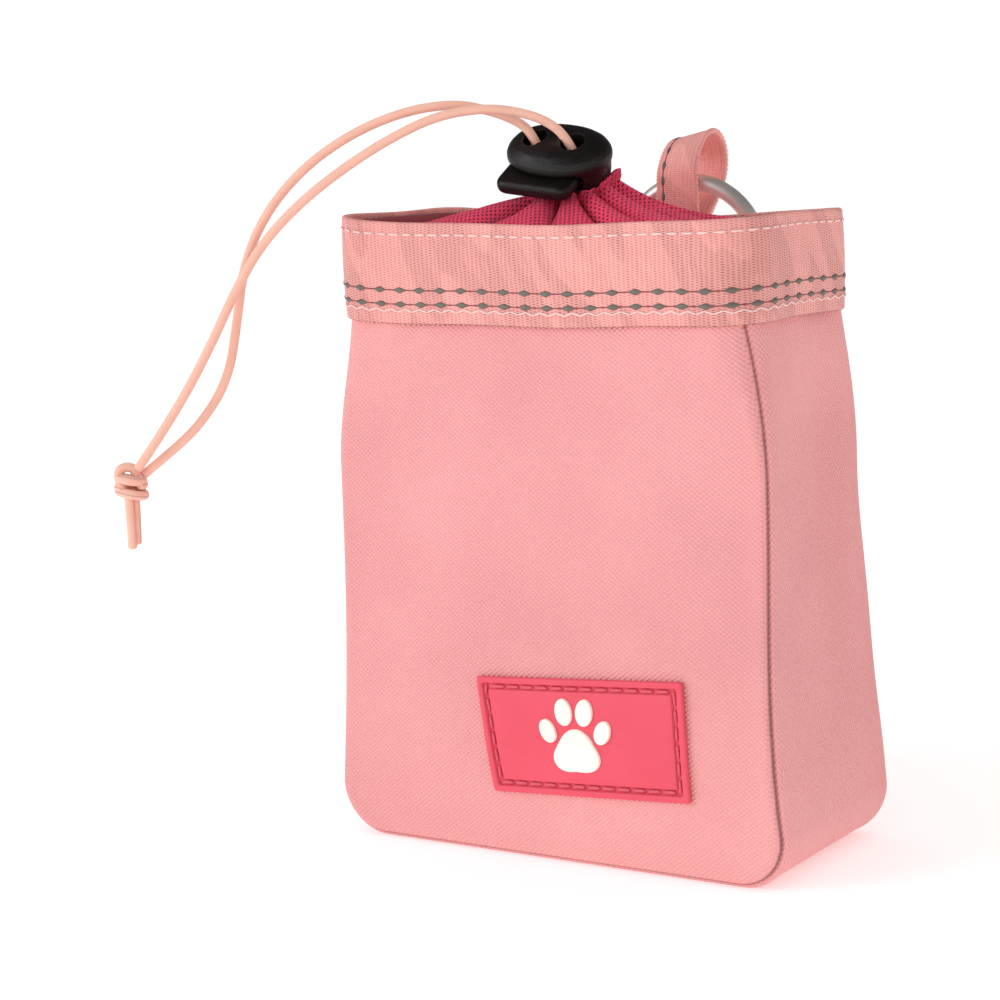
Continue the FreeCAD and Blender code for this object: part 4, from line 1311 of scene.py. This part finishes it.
def cord_lock():
    levels = (
        (9.2, 5.6, 1.0, -6.3, 2.4), (10.6, 6.9, 0.9, -5.9, 2.4), (11.6, 7.8, 0.7, -4.6, 2.4),
        (12.2, 8.2, 0.6, -2.6, 2.3), (12.5, 8.5, 0.5, -0.6, 2.3), (12.8, 8.8, 0.3, 0.6, 2.2),
        (13.3, 9.3, 0.0, 1.2, 2.2), (13.5, 9.6, 0.0, 2.2, 2.2), (13.4, 9.4, 0.0, 3.4, 2.2),
        (12.7, 8.8, 0.0, 4.7, 2.2), (11.5, 7.7, 0.0, 5.8, 2.2), (9.8, 6.3, 0.0, 6.6, 2.2),
        (7.0, 4.3, 0.0, 7.05, 2.1), (3.0, 1.7, 0.0, 7.2, 2.0)
    )
    shell = solid("lock_shell", *oval_stack(levels))
    tools = [tilted_hole(side * HOLE_APART - 0.4, -0.9, 2.9, 3.6, side * 0.25) for side in (-1, 1)]
    tools.append(solid("mouth_tool", *slab(-1.8, 10.4, -24.0, 2.4, -3.4, 1.35, 1.0)))
    carve(shell, tools)
    dress(shell, PLASTIC, "cord_lock", ["lock_body"])
    tab = solid("lock_tab", *slab(-2.2, 9.9, -13.2, -0.8, -2.9, 1.0, 2.4))
    carve(tab, [], voxel=0.22, passes=4)
    dress(tab, PLASTIC, "plunger", ["lock_plunger"])


def cord_legs():
    """The two lengths of cord that come up from the hem and through the lock."""
    legs = []
    for side, top in ((-1, line_b[0]), (1, line_a[0])):
        low = lock_place((side * HOLE_APART, 0.0, -12.0))
        middle = lock_place((side * HOLE_APART, 0.0, -2.0))
        legs.append(spline_points([low, middle, (middle + top) / 2, top]))
    cord_piece("legs", legs, ["cord_legs"])


cord_lock()
cord_legs()
for material_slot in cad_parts["lock_spring"].material_slots:
    material_slot.material = STEEL

# ---------------------------------------------------------------- webbing loop and ring

LOOP_X, LOOP_WIDE = 8.3, 12.0
BAND_BACK = 30.1
RIM = 158.0


def eye_tilt(across, height):
    """The eye's right edge stands higher than its left, and the whole of it sags a little."""
    return (0.2 * across - 1.8) * smooth((height - RIM - 1) / 14)


def webbing_loop():
    """A strip of webbing folded into an eye, with bumpy selvedges."""
    route = (
        (1.15, -14.6), (1.15, -6.0), (1.1, 3.0), (1.2, 11.0), (4.6, 16.4), (9.4, 19.2), (14.2, 18.6),
        (17.9, 14.0), (16.6, 5.8), (8.6, -2.0), (3.4, -7.4), (2.5, -10.4), (2.45, -14.6)
    )
    spacing = 0.35
    line = even(spline_points([(0.0, BAND_BACK + y, RIM + z) for y, z in route]), spacing)
    tangents = unit(np.gradient(line, axis=0))
    outward = np.cross(tangents, (1.0, 0.0, 0.0))
    half = LOOP_WIDE / 2
    thick = 0.58
    section = []
    for across in np.linspace(-half + 0.5, half - 0.5, 32):
        section.append((across, thick, 0))
    for angle in np.linspace(math.pi / 2, -math.pi / 2, 7)[1:-1]:
        section.append((half - 0.5 + 0.5 * math.cos(angle), thick * math.sin(angle), 1))
    for across in np.linspace(half - 0.5, -half + 0.5, 32):
        section.append((across, -thick, 0))
    for angle in np.linspace(-math.pi / 2, -1.5 * math.pi, 7)[1:-1]:
        section.append((-half + 0.5 + 0.5 * math.cos(angle), thick * math.sin(angle), 1))
    section = np.array(section)
    run = np.arange(len(line)) * spacing
    bumps = 0.16 * np.cos(TAU * run / 1.25)
    edge_swell = 1 + 0.3 * hump(np.abs(section[:, 0]), half - 0.7, 0.55)
    groove = 1 - 0.22 * hump(np.abs(section[:, 0]), half - 1.7, 0.25)
    side = section[None, :, 0] + bumps[:, None] * section[None, :, 2] * np.sign(section[None, :, 0])
    stand = section[None, :, 1] * (edge_swell * groove)[None, :]
    points = np.zeros((len(line), len(section), 3))
    points[..., 0] = LOOP_X + side
    points += line[:, None, :] + outward[:, None, :] * stand[..., None]
    points[..., 2] += eye_tilt(side, line[:, None, 2])
    cloth = sheet_grid(points, side, run[:, None])
    faces = closed_faces(len(line), len(section))
    piece("webbing_loop", points, faces, WEBBING_LOOP, "webbing", "pouch", ["ring_loop"], cloth)

    picks = np.arange(20, len(line) - 26, 14)
    facing = -outward if np.dot(outward[len(line) // 4], (0, -1, 0)) < 0 else outward
    yarn_line = line + np.array((LOOP_X - half + 2.1, 0, 0))
    yarn_line[:, 2] += eye_tilt(2.1 - half, line[:, 2])
    places = yarn_line[picks] + facing[picks] * (thick + 0.02)
    yarn = beads(places, tangents[picks], facing[picks], 2.5, 1.05, 0.4, 1.6)
    shape_piece("loop_yarn", yarn, REFLECTIVE, "reflective_yarn", "pouch", ["loop_reflective_yarn"])
    thread_line = yarn_line[10:-16] + facing[10:-16] * (thick - 0.06)
    core = tube(thread_line, 0.2, around=6, round_ends=False)
    shape_piece("loop_yarn_line", core, DARK_RED_THREAD, "red_thread")

    count, tack_wide = 9, 9.0
    centres = []
    for index in range(count):
        x = LOOP_X - tack_wide / 2 + tack_wide * (index / (count - 1))
        centres.append((x, BAND_BACK + 3.12, RIM - 12.9 + (0.35 if index % 2 else -0.35)))
    ways = unit(np.array([(0.16 if k % 2 else -0.16, 0.0, 1.0) for k in range(count)]))
    tack = beads(centres, ways, np.tile((0.0, 1.0, 0.0), (count, 1)), 2.9, 0.75, 0.5, 5.0)
    shape_piece("bartack", tack, PALE_THREAD, "pale_thread", "pouch", ["loop_bartack"])


def key_ring():
    """The split ring: round wire, slightly flattened where its ends meet."""
    ring_radius, wire = 19.9, 2.1
    columns, around = 220, 30
    turn = ring_shares(columns, TAU)
    section = ring_shares(around, TAU)
    seam = turn_hump(turn, -math.pi / 2, 0.018)
    girth = wire * (1 - 0.09 * seam)
    radius = ring_radius + girth[:, None] * np.cos(section)[None, :]
    points = np.zeros((columns, around, 3))
    points[..., 0] = LOOP_X + 1.8 + radius * np.cos(turn)[:, None]
    points[..., 1] = 34.4 + girth[:, None] * np.sin(section)[None, :]
    points[..., 2] = 163.6 - ring_radius + radius * np.sin(turn)[:, None]
    faces = grid_faces(columns, around, wrap_rows=True, wrap_columns=True)
    cloth = sheet_grid(points, turn[:, None] * ring_radius, section[None, :] * wire)
    piece("key_ring", points, faces, NICKEL, "nickel", "clip_ring", ["ring"], cloth, flip=True)


webbing_loop()
key_ring()

# ---------------------------------------------------------------- floor and light


def add_floor():
    """A large pale floor that runs on to the horizon."""
    run = np.linspace(-6000, 60000, 40)
    across = np.linspace(-40000, 40000, 30)
    points = np.zeros((len(run), len(across), 3))
    points[..., 0] = across[None, :] * math.cos(azimuth) - run[:, None] * math.sin(azimuth)
    points[..., 1] = across[None, :] * math.sin(azimuth) + run[:, None] * math.cos(azimuth)
    data = bpy.data.meshes.new("floor")
    data.from_pydata((points.reshape(-1, 3) * MM).tolist(), [], grid_faces(len(run), len(across)))
    data.polygons.foreach_set("use_smooth", [True] * len(data.polygons))
    look = Look("floor_paper", Roughness=0.9, Specular_IOR_Level=0.1)
    tone = look.fit(look.noise(3.0, 2.0), 0.3, 0.7, 0.99, 1.0)
    look.set(Base_Color=look.shade((0.98, 0.98, 0.98, 1.0), tone))
    look.set(Emission_Color=(1.0, 1.0, 1.0, 1.0), Emission_Strength=0.31)
    data.materials.append(look.material)
    floor = add_object("floor", data)


def add_light(name, place, target, size, power, colour=(1.0, 1.0, 1.0)):
    lamp = bpy.data.lights.new(name, "AREA")
    lamp.shape = "RECTANGLE"
    lamp.size, lamp.size_y = size
    lamp.energy = power
    lamp.color = colour
    holder = add_object(name, lamp)
    holder.location = place
    aim = Vector(target) - Vector(place)
    holder.rotation_euler = aim.to_track_quat("-Z", "Y").to_euler()


add_floor()
POUCH = (0.0, 0.0, 0.09)
add_light("key", (-0.95, -1.1, 0.6), POUCH, (0.9, 0.8), 7.9, (0.97, 1.0, 1.06))
add_light("fill", (1.5, -0.35, 0.55), POUCH, (0.9, 0.9), 1.0, (1.0, 0.84, 0.72))


def studio_world():
    """White behind, softer light above, and a darker room for what shines, as in a studio with flags."""
    world = bpy.data.worlds.new("studio")
    world.use_nodes = True
    tree = world.node_tree
    place = tree.nodes.new("ShaderNodeTexCoord")
    split = tree.nodes.new("ShaderNodeSeparateXYZ")
    dim = tree.nodes.new("ShaderNodeMapRange")
    for key, level_value in (("From Min", 0.02), ("From Max", 0.7), ("To Min", 0.28), ("To Max", 0.04)):
        dim.inputs[key].default_value = level_value
    ray = tree.nodes.new("ShaderNodeLightPath")
    background = tree.nodes["Background"]
    background.inputs["Color"].default_value = (1.0, 1.0, 1.0, 1.0)
    tree.links.new(place.outputs["Generated"], split.inputs[0])
    tree.links.new(split.outputs["Z"], dim.inputs["Value"])
    strength = 0.75
    for kind, value in (("Is Glossy Ray", dim.outputs["Result"]), ("Is Camera Ray", 1.06)):
        pick = tree.nodes.new("ShaderNodeMix")
        tree.links.new(ray.outputs[kind], pick.inputs["Factor"])
        for key, part in (("A", strength), ("B", value)):
            if isinstance(part, float):
                pick.inputs[key].default_value = part
            else:
                tree.links.new(part, pick.inputs[key])
        strength = pick.outputs["Result"]
    tree.links.new(strength, background.inputs["Strength"])
    scene.world = world


studio_world()
